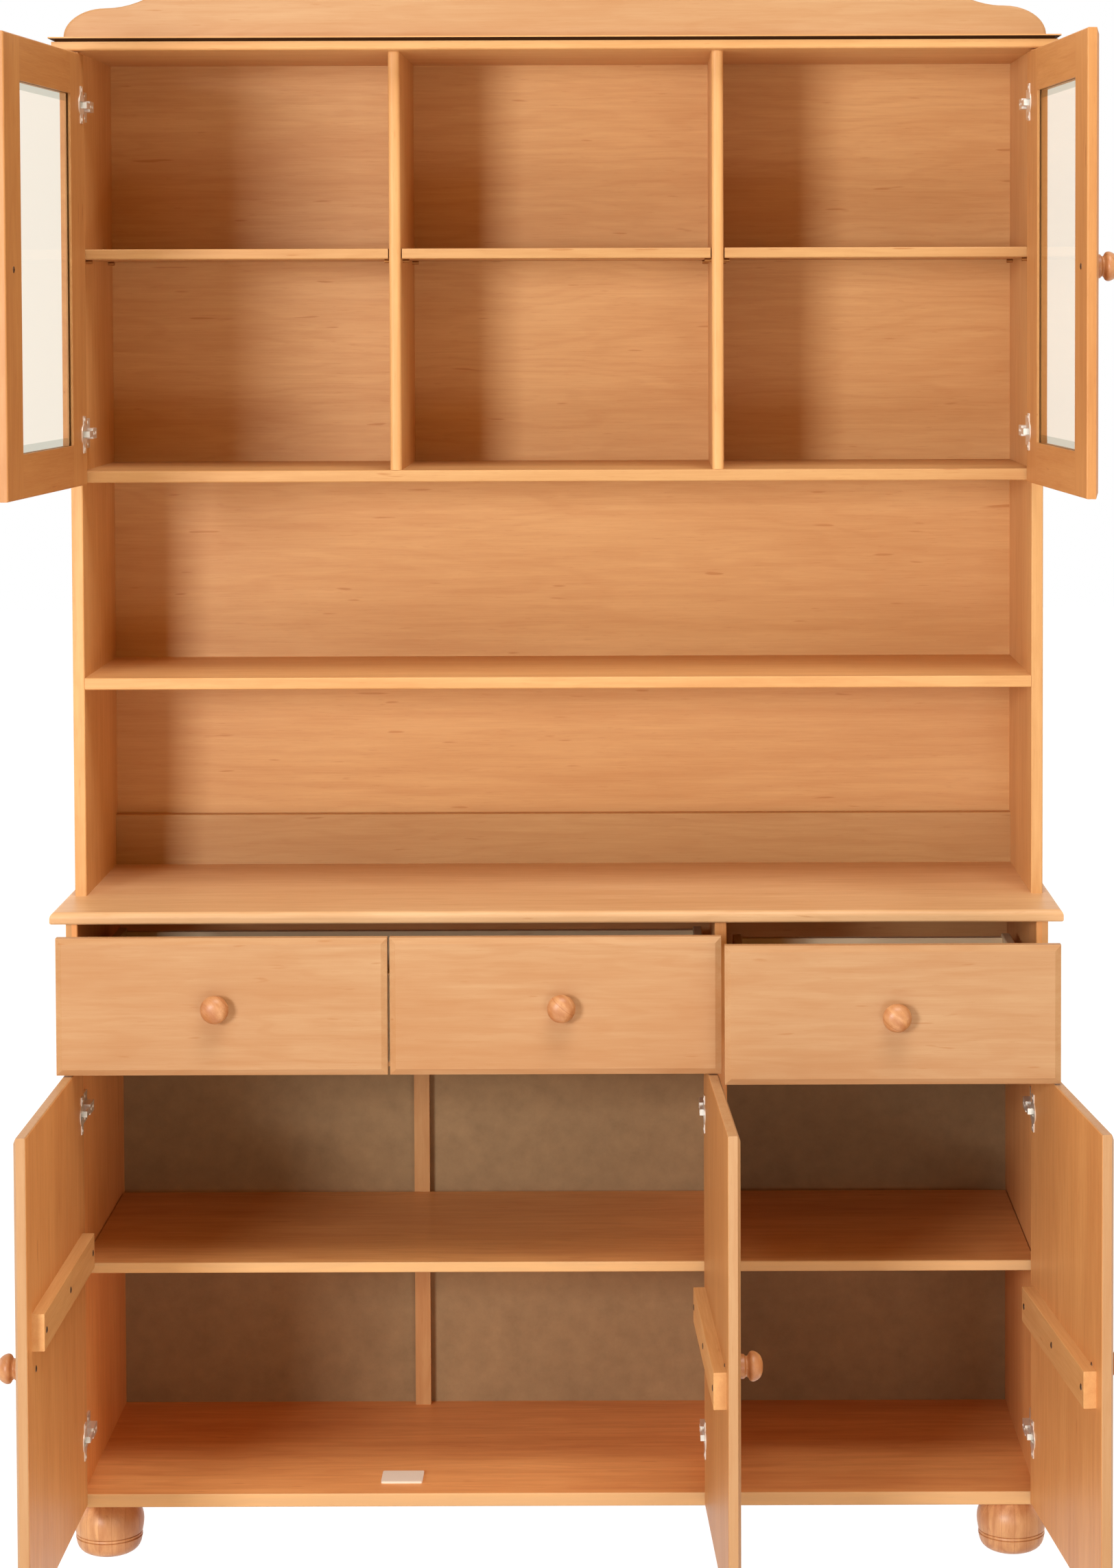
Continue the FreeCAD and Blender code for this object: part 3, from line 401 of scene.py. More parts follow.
def pine_figure(tree, place, grain):
    """Figure of a quietly grained board with its grain along one axis of place. Returns six values
    from 0 to 1: broad tone, bands, fine fibres, rings, short dashes and rare pin knots."""
    tone, bands, fibres = pine_layers(tree, place, grain, "tone", "bands", "fibres")
    drift = drawn_out(tree, place, grain, *RING_DRIFT)
    lift = add(tree, "ShaderNodeMath", {0: drift, 1: 0.5}, operation="SUBTRACT").outputs[0]
    push = add(tree, "ShaderNodeCombineXYZ", {"X": lift, "Y": lift, "Z": lift}).outputs[0]
    swayed = add(tree, "ShaderNodeVectorMath", {0: push, 1: (RING_SWAY,) * 3, 2: place},
                 operation="MULTIPLY_ADD").outputs[0]
    wave = add(tree, "ShaderNodeTexWave", {"Vector": swayed, "Scale": 2 * math.pi / 20 / RING_WIDTH,
                                           "Distortion": 1.2, "Detail": 2.0, "Detail Scale": 2.0},
               wave_type="RINGS", rings_direction=grain, wave_profile="SIN")
    rings = add(tree, "ShaderNodeValToRGB", {"Fac": wave.outputs["Fac"]},
                stops=((0.45, grey(0.0)), (0.95, grey(1.0)))).outputs["Color"]
    dashes, knots = pine_layers(tree, place, grain, "dashes", "knots")
    return tone, bands, fibres, rings, dashes, knots


def figured(tree, colour, dark, layers):
    """Take a colour towards a dark one through each layer, as far as the layer's strength."""
    for layer, strength in layers:
        share = add(tree, "ShaderNodeMix", {SHARE: 1.0, FIRST: layer, SECOND: grey(strength)},
                    data_type="RGBA", blend_type="MULTIPLY").outputs[BLEND]
        colour = add(tree, "ShaderNodeMix", {SHARE: share, FIRST: colour, SECOND: dark},
                     data_type="RGBA").outputs[BLEND]
    return colour


def pine(name, grain, heart=(0, 0, 0), turn=0.0, light="pine_light", dark="pine_dark", tint=1.0,
         gloss=SATIN, strength=1.0, rails=None, groove=None, other_side=None):
    """Pine board, stained honey and sealed with satin lacquer: soft broad tones, faint rings, fine
    fibres, short darker dashes and now and then a pin knot, under a low even sheen.
    rails gives the limits between which the boards of a door frame lie across. groove gives an axis
    and the limits of a groove that is painted dark, as painted shade. other_side gives an axis of the
    closed door or the cabinet, two limits, and the pale and dark tones that the board has between them:
    a cupboard shelf's front edge, painted paler than its top as painted light, or the outside of a base
    side or cupboard door, whose other side has the cupboard colours with their painted light."""
    colours = bpy.context.scene.dresser_colours
    material, tree = blank(name)
    objects = add(tree, "ShaderNodeTexCoord").outputs["Object"]
    place = add(tree, "ShaderNodeMapping", {"Vector": objects, "Location": heart,
                                            "Rotation": (0, 0, -turn)}).outputs["Vector"]
    figure = pine_figure(tree, place, grain)
    if rails:
        is_rail = between(tree, place, "X", *rails)
        figure = [add(tree, "ShaderNodeMix", {SHARE: is_rail, FIRST: stile, SECOND: rail},
                      data_type="RGBA").outputs[BLEND]
                  for stile, rail in zip(figure, pine_figure(tree, place, "X"))]
    tone, bands, fibres, rings, dashes, knots = figure
    tones = [tuple(c * tint for c in getattr(colours, shade)[:3]) + (1.0,) for shade in (light, dark)]
    # Two tones on one board, which paint light: a cupboard shelf's lit front edge paler than its shaded
    # top, and the cupboard colours, with their painted light, on the inner side of a base side or door.
    if other_side:
        axis, low, high, *other_tones = other_side
        closed = add(tree, "ShaderNodeMapping", {"Vector": objects, "Rotation": (0, 0, -turn)})
        is_other = between(tree, closed.outputs["Vector"], axis, low, high)
        tones = [add(tree, "ShaderNodeMix", {SHARE: is_other, FIRST: own, SECOND: other},
                     data_type="RGBA").outputs[BLEND]
                 for own, other in zip(tones, (getattr(colours, tone) for tone in other_tones))]
    colour = figured(tree, *tones, (
        (tone, 0.30 * strength), (bands, 0.20 * strength), (fibres, 0.15), (rings, 0.10 * strength),
        (dashes, 0.20), (knots, 0.55)))
    rough = add(tree, "ShaderNodeValToRGB", {"Fac": fibres},
                stops=((0.0, grey(0.42)), (1.0, grey(0.52)))).outputs["Color"]
    # Painted shade: in the cornice groove the colour is painted dark, the roughness set to full and the
    # coat taken away.
    if groove:
        in_groove = between(tree, objects, *groove)
        colour, rough = (add(tree, "ShaderNodeMix", {SHARE: in_groove, FIRST: wood, SECOND: stained},
                             data_type="RGBA").outputs[BLEND]
                         for wood, stained in ((colour, colours.shade), (rough, grey(1.0))))
        gloss = add(tree, "ShaderNodeMapRange", {"Value": in_groove, "To Min": gloss,
                                                 "To Max": 0.0}).outputs[0]
    bump = add(tree, "ShaderNodeBump", {"Height": fibres, "Strength": FIBRE_RISE,
                                        "Distance": FIBRE_HEIGHT})
    return surfaced(material, {
        "Base Color": colour, "Roughness": rough, "Normal": bump.outputs["Normal"],
        "Specular IOR Level": WOOD_SPECULAR, "Coat Weight": gloss, "Coat Roughness": COAT_ROUGHNESS})


FOOT_STAVES = (17 * MM, 31 * MM, 1.0)  # how wide, deep and high the staves of a foot's block are
ONE_BLOCK = (0.5, 0.5, 0.5)  # larger than a knob, which so has no seams
SEAM_WIDTH = 0.9 * MM  # a glue line is finer: drawn as wide as it needs to show
DARKEST_STAVE = 0.45  # how far a stave may go from the pale tone to the dark one


def turned_pine(name, centre, stave, tilt=(0, 0, 0), contrast=1.0):
    """Turned from a block of glued pine staves and lacquered: each stave has its own tone, fine glue
    lines part them, and the curve cuts across the rings, with a soft shine."""
    colours = bpy.context.scene.dresser_colours
    material, tree = blank(name)
    objects = add(tree, "ShaderNodeTexCoord").outputs["Object"]
    centred = add(tree, "ShaderNodeMapping", {"Vector": objects, "Location": [-c for c in centre]})
    place = add(tree, "ShaderNodeMapping", {"Vector": centred.outputs["Vector"],
                                            "Rotation": tilt}).outputs["Vector"]
    tone, bands, fibres, rings, dashes = pine_figure(tree, place, "Z")[:5]
    cells = add(tree, "ShaderNodeVectorMath", {0: place, 1: stave}, operation="SNAP").outputs[0]
    staves = add(tree, "ShaderNodeTexWhiteNoise", {"Vector": cells}, noise_dimensions="3D")
    apart = add(tree, "ShaderNodeVectorMath", {0: place, 1: cells}, operation="SUBTRACT").outputs[0]
    from_seam = add(tree, "ShaderNodeSeparateXYZ", {"Vector": apart}).outputs
    nearest = add(tree, "ShaderNodeMath", {0: from_seam["X"], 1: from_seam["Y"]}, operation="MINIMUM")
    seams = add(tree, "ShaderNodeMath", {0: nearest.outputs[0], 1: SEAM_WIDTH},
                operation="LESS_THAN").outputs[0]
    darkest = tuple((1 - DARKEST_STAVE) * pale + DARKEST_STAVE * dark
                    for pale, dark in zip(colours.turned_light, colours.turned_dark))
    colour = add(tree, "ShaderNodeValToRGB", {"Fac": staves.outputs["Value"]},
                 stops=((0.0, colours.turned_light), (1.0, darkest))).outputs["Color"]
    colour = figured(tree, colour, colours.turned_dark, [
        (layer, min(strength * contrast, 1.0)) for layer, strength in (
            (tone, 0.30), (bands, 0.40), (fibres, 0.20), (rings, 0.30), (dashes, 0.35), (seams, 0.40))])
    bump = add(tree, "ShaderNodeBump", {"Height": fibres, "Strength": FIBRE_RISE,
                                        "Distance": FIBRE_HEIGHT})
    return surfaced(material, {
        "Base Color": colour, "Roughness": 0.42, "Normal": bump.outputs["Normal"],
        "Coat Weight": SATIN, "Coat Roughness": COAT_ROUGHNESS})


# ---------------------------------------------------------------- the other materials
def hardboard():
    """Hardboard, pressed wood fibre: matt brown with a fine mottle and faint clouds."""
    colours = bpy.context.scene.dresser_colours
    material, tree = blank("hardboard")
    objects = add(tree, "ShaderNodeTexCoord").outputs["Object"]
    fibres = add(tree, "ShaderNodeTexNoise", {"Vector": objects, "Scale": 1 / (30 * MM), "Detail": 7.0,
                                              "Roughness": 0.7}).outputs["Fac"]
    clouds = add(tree, "ShaderNodeTexNoise", {"Vector": objects, "Scale": 1 / (200 * MM),
                                              "Detail": 3.0}).outputs["Fac"]
    mottle = add(tree, "ShaderNodeValToRGB", {"Fac": fibres},
                 stops=((0.2, colours.hardboard_dark), (0.8, colours.hardboard_light)))
    shade = add(tree, "ShaderNodeValToRGB", {"Fac": clouds},
                stops=((0.3, grey(0.84)), (0.7, grey(1.0))))
    colour = add(tree, "ShaderNodeMix", {SHARE: 1.0, FIRST: mottle.outputs["Color"],
                                         SECOND: shade.outputs["Color"]},
                 data_type="RGBA", blend_type="MULTIPLY").outputs[BLEND]
    bump = add(tree, "ShaderNodeBump", {"Height": fibres, "Strength": 0.1, "Distance": 0.2 * MM})
    return surfaced(material, {
        "Base Color": colour, "Roughness": 0.72, "Normal": bump.outputs["Normal"]})


def plated(name, colour, metal, spot, smooth, dull):
    """Plated steel whose shine drifts from smooth to dull in spots of one size."""
    material, tree = blank(name)
    objects = add(tree, "ShaderNodeTexCoord").outputs["Object"]
    wear = add(tree, "ShaderNodeTexNoise", {"Vector": objects, "Scale": 1 / spot, "Detail": 2.0})
    rough = add(tree, "ShaderNodeValToRGB", {"Fac": wear.outputs["Fac"]},
                stops=((0.3, grey(smooth)), (0.7, grey(dull))))
    return surfaced(material, {
        "Base Color": colour, "Metallic": metal, "Roughness": rough.outputs["Color"]})


def nickel():
    """Nickel-plated pressed steel: bright and slightly warm, with a soft rolled bloom."""
    return plated("nickel_plated_steel", bpy.context.scene.dresser_colours.nickel, metal=0.8,
                  spot=4 * MM, smooth=0.38, dull=0.48)


def brassed_steel():
    """Brass-plated steel pegs, tumbled: a warm metal, dulled in spots."""
    return plated("brass_plated_steel", bpy.context.scene.dresser_colours.brass, metal=0.9,
                  spot=3 * MM, smooth=0.4, dull=0.6)


def screw_steel():
    """Yellow-passivated steel screws sunk in pilot holes: dark, with spots that the driver rubbed."""
    return plated("passivated_screw_steel", bpy.context.scene.dresser_colours.screw, metal=0.85,
                  spot=2 * MM, smooth=0.35, dull=0.55)


def cream_plastic():
    """Moulded polystyrene cover plate: cream, matt, with a fine spark-eroded grain."""
    colours = bpy.context.scene.dresser_colours
    material, tree = blank("moulded_polystyrene")
    objects = add(tree, "ShaderNodeTexCoord").outputs["Object"]
    grain = add(tree, "ShaderNodeTexNoise", {"Vector": objects, "Scale": 1 / (0.8 * MM),
                                             "Detail": 2.0}).outputs["Fac"]
    hollow = tuple(c * 0.96 for c in colours.plastic[:3]) + (1.0,)
    colour = add(tree, "ShaderNodeValToRGB", {"Fac": grain},
                 stops=((0.2, hollow), (0.8, colours.plastic)))
    bump = add(tree, "ShaderNodeBump", {"Height": grain, "Strength": 0.15, "Distance": 0.1 * MM})
    return surfaced(material, {
        "Base Color": colour.outputs["Color"], "Roughness": 0.5, "Normal": bump.outputs["Normal"]})


def float_glass(door):
    """Clear float glass with a polished bevel: a faint warm tint, partly the glass's own and partly
    painted reflection, and a greyer bevel, which is painted reflection. Its index is kept low, so that
    the panes stay clear when they are seen at a slant."""
    colours = bpy.context.scene.dresser_colours
    material, tree = blank("float_glass_" + door.name)
    objects = add(tree, "ShaderNodeTexCoord").outputs["Object"]
    place = add(tree, "ShaderNodeMapping", {"Vector": objects,
                                            "Rotation": (0, 0, -door.turn)}).outputs["Vector"]
    flat = 1.0
    for axis, direction in (("X", door.spun @ RIGHT), ("Z", UP)):
        low, high = span(door.pane, direction)
        inside = between(tree, place, axis, low + GLASS_BEVEL, high - GLASS_BEVEL)
        flat = add(tree, "ShaderNodeMath", {0: inside, 1: flat}, operation="MULTIPLY").outputs[0]
    colour = add(tree, "ShaderNodeMix", {SHARE: flat, FIRST: colours.bevel, SECOND: colours.glass},
                 data_type="RGBA").outputs[BLEND]
    return surfaced(material, {
        "Base Color": colour, "Roughness": 0.02, "IOR": 1.05, "Transmission Weight": 1.0})


# ---------------------------------------------------------------- which board is cut how
CUPBOARD_SHELVES = ("base_floor", "base_shelf_wide", "base_shelf_right")

# Boards that share a finish: their nodes, their grain, their wood among the colours, and their gloss.
BOARDS = (
    (("base_rails", "hutch_cornice_board", "hutch_shelf_lower", "hutch_shelf_fixed",
      "hutch_shelves_loose", "hutch_back_panel", "hutch_back_rail"), "X", "pine", SATIN),
    # The worktop colours hold painted sheen as well as the wood's tone.
    (("worktop",), "X", "top", POLISHED),
    (("wide_drawer_front_left", "wide_drawer_front_right", "right_drawer_front", "hutch_pediment"),
     "X", "front", SATIN),
    # The cupboard shelves and base sides take the cupboard colours, which hold painted light.
    (CUPBOARD_SHELVES, "X", "shelf", SATIN),
    (("base_side_left", "base_side_right", "base_partition"), "Z", "shelf", SATIN),
    (("hutch_side_left", "hutch_side_right", "hutch_divider_left", "hutch_divider_right",
      "back_batten"), "Z", "pine", SATIN),
    # The bare colours hold painted light as well as the wood's tone.
    (("wide_drawer_end_boards", "right_drawer_back"), "X", "bare", 0.0),
    (("wide_drawer_sides", "right_drawer_sides", "drawer_runners"), "Y", "bare", 0.0),
)

# Boards that are paler or darker than their finish, and boards with a stronger figure. Each of these
# tints was matched to how light the board looks, so it holds painted light and shade as well as the
# plank's own tone. The others get a tint within three percent, as planks from different trees differ,
# and the plain figure.
TINTS_AND_PAINTED_LIGHT = {"hutch_back_rail": 0.75, "hutch_shelves_loose": 0.80, "hutch_shelf_fixed": 0.84,
         "base_floor": 1.05, "back_batten": 0.82, "left_glass_frame": 0.70, "right_glass_frame": 0.78,
         "hutch_back_panel": 0.96, "left_cupboard_door": 0.91, "middle_cupboard_door": 0.72,
         "right_cupboard_door": 0.87, "base_side_left": 1.14}
FIGURES = {"wide_drawer_front_left": 1.7, "wide_drawer_front_right": 1.6, "right_drawer_front": 1.6,
           "worktop": 1.3, "hutch_pediment": 1.2, "base_floor": 1.5, "base_shelf_wide": 1.4,
           "base_shelf_right": 1.4, "back_batten": 1.5}

HEART_DEPTH = Vector((0.16, 0.17, 0.16))  # from a board's middle to the heart of its tree, in metres
HEART_WANDER = 0.09


def heart_of(node, number, turn=0.0):
    """Where the tree's heart lay: below the board and off to one side, another place for each board,
    as the sines of three unlike multiples of its number give."""
    low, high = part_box(node)
    centre = Matrix.Rotation(-turn, 3, "Z") @ ((low + high) / 2)
    wander = Vector((math.sin(number * 1.7), math.cos(number * 2.3), math.sin(number * 3.1)))
    return tuple(HEART_DEPTH + wander * HEART_WANDER - centre)


def give(node, material):
    slots = frame["nodes"][node].material_slots
    if not slots:
        raise RuntimeError(node + " has no material slot")
    for slot in slots:
        slot.material = material


# ---------------------------------------------------------------- operators: pieces
class DRESSER_OT_turn_feet(bpy.types.Operator):
    """Turn the four bun feet with their bead and two grooves"""
    bl_idname = "dresser.turn_feet"
    bl_label = "Turn feet"

    def execute(self, context):
        sizes = context.scene.dresser_turnings
        low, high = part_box("feet")
        radius = sizes.foot_radius
        outline = self.foot_outline(sizes, high.z - low.z)
        for number in range(4):
            corner_x = high.x - radius if number % 2 else low.x + radius
            corner_y = high.y - radius if number // 2 else low.y + radius
            foot = turned(outline, Vector((corner_x, corner_y, low.z)), UP, sizes.foot_sides)
            name = "foot_%d" % (number + 1)
            shift = Vector((9 + 7 * number, 14 - 5 * number, 0)) * MM
            block = turned_pine("turned_pine_" + name, Vector((corner_x, corner_y, 0)) + shift,
                                FOOT_STAVES, contrast=1.15)
            finish_piece(foot, "turned_" + name, "cabinet", block, ["feet"])
        return {"FINISHED"}

    def foot_outline(self, sizes, height):
        """From the tread up the round heel, over the lower groove, the bead and the upper groove, up
        the belly and in under the cupboard floor."""
        tread = sizes.foot_tread_radius
        rim = sizes.foot_rim_radius
        neck = sizes.foot_neck_radius
        groove = sizes.groove
        soft = groove / 4
        heel_height = 22.5 * MM
        heel_bow = 5.5 * MM
        neck_height = 8 * MM
        belly_top = height - neck_height
        belly_bow = sizes.foot_radius - (rim + neck) / 2
        outline = [(tread, 0)]
        outline += rounded((tread, 0), (rim, heel_height), heel_bow, 8)
        for edge in (heel_height, heel_height + 2 * groove):
            outline += [(rim - soft, edge + soft / 2), (rim - groove, edge + groove / 2),
                        (rim - soft, edge + groove - soft / 2), (rim, edge + groove)]
        outline += rounded((rim, heel_height + 3 * groove), (neck, belly_top), belly_bow, 12)
        outline += [(neck - groove * 0.4, belly_top + groove * 0.7),
                    (neck - groove, belly_top + groove), (neck - groove, height), (neck / 8, height)]
        return outline


class DRESSER_OT_turn_knobs(bpy.types.Operator):
    """Turn the eight mushroom knobs of the doors and drawers"""
    bl_idname = "dresser.turn_knobs"
    bl_label = "Turn knobs"

    def execute(self, context):
        sizes = context.scene.dresser_turnings
        number = 0
        for door in DOORS:
            number += 1
            self.turn_knob(sizes, door.knob, door.body, -door.inward, door.along,
                           middle(door.knob, door.along), number)
        for node, body, count in (("wide_drawer_knobs", "wide_drawer", 2),
                                  ("right_drawer_knob", "right_drawer", 1)):
            low, high = span(node, RIGHT)
            radius = (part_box(node)[1].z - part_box(node)[0].z) / 2
            for centre in (low + radius, high - radius)[:count]:
                number += 1
                self.turn_knob(sizes, node, body, FRONT, RIGHT, centre, number)
        return {"FINISHED"}

    def turn_knob(self, sizes, node, body, axis, across, centre, number):
        """A neck, a hollow waist and a mushroom head with a soft crown, on a knob 31 mm long."""
        low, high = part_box(node)
        radius = (high.z - low.z) / 2
        scale = radius / sizes.knob_radius
        start, end = span(node, axis)
        length = end - start
        base = axis * start + across * centre + UP * (low.z + radius)
        neck = sizes.knob_neck_radius * scale
        waist = sizes.knob_waist_radius * scale
        neck_end, waist_end, widest = (length * height / 31 for height in (8, 13, 19))
        soft = 0.6 * MM
        inner = neck - soft
        crown = radius * 0.7
        crown_start = length - 3.0 * MM * scale
        tip = radius * 0.04
        outline = [(inner, 0), (neck, soft), (neck, neck_end - soft), (inner, neck_end)]
        outline += rounded((inner, neck_end), (inner, waist_end), waist - neck + soft, 6)
        outline += rounded((inner, waist_end), (radius, widest), 1.5 * MM * scale, 5)
        outline += rounded((radius, widest), (crown, crown_start), 0.9 * MM * scale, 6)
        outline += rounded((crown, crown_start), (tip, length), 0.9 * MM * scale, 5)
        knob = turned(outline, base, axis, sizes.knob_sides)
        shift = Vector((0.004 * number, 0.011, 0.006 - 0.003 * number))
        wood = turned_pine("turned_pine_knob_%d" % number, base + shift, ONE_BLOCK,
                           tilt=(0.6, 0.75, 0.3 * number), contrast=1.6)
        finish_piece(knob, "turned_knob_%d" % number, body, wood, [node])


def screw_pattern(radius):
    """A countersunk screw head with a cross recess, modelled at the origin and looking along +Z."""
    rim = radius * 0.12
    dome = radius * 0.10
    top = radius * 0.22
    deselect_all()
    bpy.ops.mesh.primitive_circle_add(vertices=20, radius=radius, fill_type="NGON", location=(0, 0, 0))
    head = bpy.context.object
    bpy.ops.object.mode_set(mode="EDIT")
    bpy.ops.mesh.extrude_region_move(TRANSFORM_OT_translate={"value": (0, 0, rim)})
    bpy.ops.transform.resize(value=(0.93, 0.93, 1), center_override=(0, 0, rim))
    bpy.ops.mesh.extrude_region_move(TRANSFORM_OT_translate={"value": (0, 0, dome)})
    bpy.ops.transform.resize(value=(0.72, 0.72, 1), center_override=(0, 0, top))
    bpy.ops.mesh.select_all(action="SELECT")
    bpy.ops.mesh.normals_make_consistent(inside=False)
    bpy.ops.object.mode_set(mode="OBJECT")
    for angle in (0, math.pi / 2):
        deselect_all()
        bpy.ops.mesh.primitive_cube_add(size=1, location=(0, 0, top), rotation=(0, 0, angle),
                                        scale=(radius * 1.1, radius * 0.24, radius * 0.24))
        slot = bpy.context.object
        bpy.ops.object.mode_set(mode="EDIT")
        bpy.ops.mesh.bevel(offset=radius * 0.03, segments=1, affect="EDGES")
        bpy.ops.object.mode_set(mode="OBJECT")
        only(head)
        bpy.ops.object.modifier_add(type="BOOLEAN")
        cut = head.modifiers[-1]
        cut.operation = "DIFFERENCE"
        cut.solver = "EXACT"
        cut.object = slot
        bpy.ops.object.modifier_apply(modifier=cut.name)
        removed(slot)
    only(head)
    bpy.ops.object.shade_smooth_by_angle(angle=math.radians(30))
    return head


class DRESSER_OT_drive_screws(bpy.types.Operator):
    """Drive the screws of the battens, the knobs and the hinges"""
    bl_idname = "dresser.drive_screws"
    bl_label = "Drive screws"

    def execute(self, context):
        steel = screw_steel()
        bright = nickel()
        wood_screw = screw_pattern(WOOD_SCREW_RADIUS)
        hinge_screw = screw_pattern(HINGE_SCREW_RADIUS)
        fixed = []
        for door in DOORS:
            finish_piece(joined(self.wood_screws(door, wood_screw)), door.name + "_wood_screws",
                         door.body, steel)
            finish_piece(joined(self.flange_screws(door, hinge_screw)), door.name + "_flange_screws",
                         door.body, bright)
            fixed += self.arm_screws(door, hinge_screw)
        finish_piece(joined(fixed), "hinge_arm_screws", "cabinet", bright)
        removed(wood_screw)
        removed(hinge_screw)
        return {"FINISHED"}

    def wood_screws(self, door, pattern):
        """Three screws through the batten, if there is one, and one through the door into its knob."""
        places = []
        if door.batten:
            near, far = sorted(span(door.batten, door.along))
            face = span(door.batten, door.inward)[1]
            height = middle(door.batten, UP)
            for reach in (BATTEN_SCREW_INSET, (far - near) / 2, far - near - BATTEN_SCREW_INSET):
                places.append(door.along * (near + reach) + door.inward * face + UP * height)
        face = span(door.panel, door.inward)[1]
        places.append(door.along * middle(door.knob, door.along) + door.inward * face
                      + UP * middle(door.knob, UP))
        return [copied(pattern, place, door.inward) for place in places]

    def flange_screws(self, door, pattern):
        """Two screws in the flange of each cup."""
        cup_line = middle(door.cups, door.along)
        face = span(door.cups, door.inward)[1]
        screws = []
        for height in door.hinge_heights:
            for rise in (-FLANGE_SCREW_RISE, FLANGE_SCREW_RISE):
                place = door.along * cup_line + door.inward * face + UP * (height + rise)
                screws.append(copied(pattern, place, door.inward))
        return screws

    def arm_screws(self, door, pattern):
        """Two screws in each mounting plate and two in its block."""
        low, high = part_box(door.carrier)
        outward = Vector((door.side, 0, 0))
        plate_face = (high.x if door.side > 0 else low.x) + door.side * PLATE_THICKNESS
        plate_middle = low.y + PLATE_SETBACK
        block_face = door.pin.x + door.side * BLOCK_REACH
        screws = []
        for height in door.hinge_heights:
            for rise in (-PLATE_SCREW_RISE, PLATE_SCREW_RISE):
                place = Vector((plate_face, plate_middle, height + rise))
                screws.append(copied(pattern, place, outward))
            for setback in (-BLOCK_SCREW_SETBACK, BLOCK_SCREW_SETBACK):
                place = Vector((block_face, plate_middle + setback, height))
                screws.append(copied(pattern, place, outward))
        return screws


# ---------------------------------------------------------------- operators: finishes
class DRESSER_OT_finish_boards(bpy.types.Operator):
    """Give every board its pine, cut along its own grain"""
    bl_idname = "dresser.finish_boards"
    bl_label = "Finish boards"

    def execute(self, context):
        number = 0
        for nodes, grain, wood, gloss in BOARDS:
            for node in nodes:
                number += 1
                groove = None
                if node == "hutch_cornice_board":
                    groove = ("Z", *(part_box(node)[1].z - depth for depth in CORNICE_GROOVE_SHADE))
                tint = TINTS_AND_PAINTED_LIGHT.get(node, 1.0 + 0.03 * math.sin(number * 2.1))
                give(node, pine("pine_" + node, grain, heart_of(node, number), 0.0, wood + "_light",
                                wood + "_dark", tint, gloss, FIGURES.get(node, 1.0), groove=groove,
                                other_side=self.other_side(node)))
        for door in DOORS:
            number += 1
            self.finish_door(door, number)
        return {"FINISHED"}

    def other_side(self, node):
        """A base side is honey coloured outside and has the cupboard colours, with their painted light,
        inside. A cupboard shelf's front edge is painted paler than its top, as painted light on the
        edge that faces the light.
        """
        low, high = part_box(node)
        half = (low.x + high.x) / 2
        if node in CUPBOARD_SHELVES:
            return "Y", low.y - PAINTED_LIT_EDGE, low.y + PAINTED_LIT_EDGE, "pine_light", "front_light"
        return {"base_side_left": ("X", low.x - MM, half, "pine_light", "pine_dark"),
                "base_side_right": ("X", half, high.x + MM, "pine_light", "pine_dark")}.get(node)

    def finish_door(self, door, number):
        """A cupboard door is as pale outside as the drawer fronts, and has the cupboard colours, with
        their painted light, inside. A glass door's frame has the cupboard colours all over, and its
        grain runs up its stiles and along its rails."""
        heart = heart_of(door.panel, number, door.turn)
        rails = other_side = None
        if door.batten:
            outer, inner = span(door.panel, door.spun @ BACK)
            other_side = ("Y", outer - MM, inner - 0.5 * MM, "front_light", "front_dark")
        else:
            near, far = span(door.panel, door.spun @ RIGHT)
            rails = (near + STILE_WIDTH + heart[0], far - STILE_WIDTH + heart[0])
        give(door.panel, pine("pine_" + door.panel, "Z", heart, door.turn, "shelf_light", "shelf_dark",
                              TINTS_AND_PAINTED_LIGHT[door.panel], rails=rails, other_side=other_side))
        if door.batten:
            give(door.batten, pine("pine_" + door.batten, "X",
                                   heart_of(door.batten, number + 9, door.turn), door.turn))


class DRESSER_OT_finish_fittings(bpy.types.Operator):
    """Give the backs, the glass, the hinges and the cover plate their finishes"""
    bl_idname = "dresser.finish_fittings"
    bl_label = "Finish fittings"

    def execute(self, context):
        backs = hardboard()
        for node in ("base_back_panels", "wide_drawer_bottom", "right_drawer_bottom"):
            give(node, backs)
        give("shelf_pegs", brassed_steel())
        steel = nickel()
        give("hinge_arms", steel)
        plain = pine("pine_turned_stock", "Z")
        for node in ("feet", "wide_drawer_knobs", "right_drawer_knob"):
            give(node, plain)
        for door in DOORS:
            give(door.cups, steel)
            give(door.knob, plain)
            if not door.batten:
                give(door.pane, float_glass(door))
        give("floor_cover_plate", cream_plastic())
        return {"FINISHED"}


# ---------------------------------------------------------------- operators: stage
# The camera's place in metres, how far it looks down and leans, and how its frame is shifted.
CAMERA_PLACE = (0.1174, -4.7251, 1.6913)
CAMERA_PITCH = math.radians(2.44)
CAMERA_ROLL = math.radians(-0.18)
CAMERA_SHIFT = (-0.0552, -0.2098)
FLOOR_SIZE = 30
LAMPS_AIM = Vector((0, 0.1, 1.05))  # the middle of the dresser
WHITE = (1.0, 1.0, 1.0)


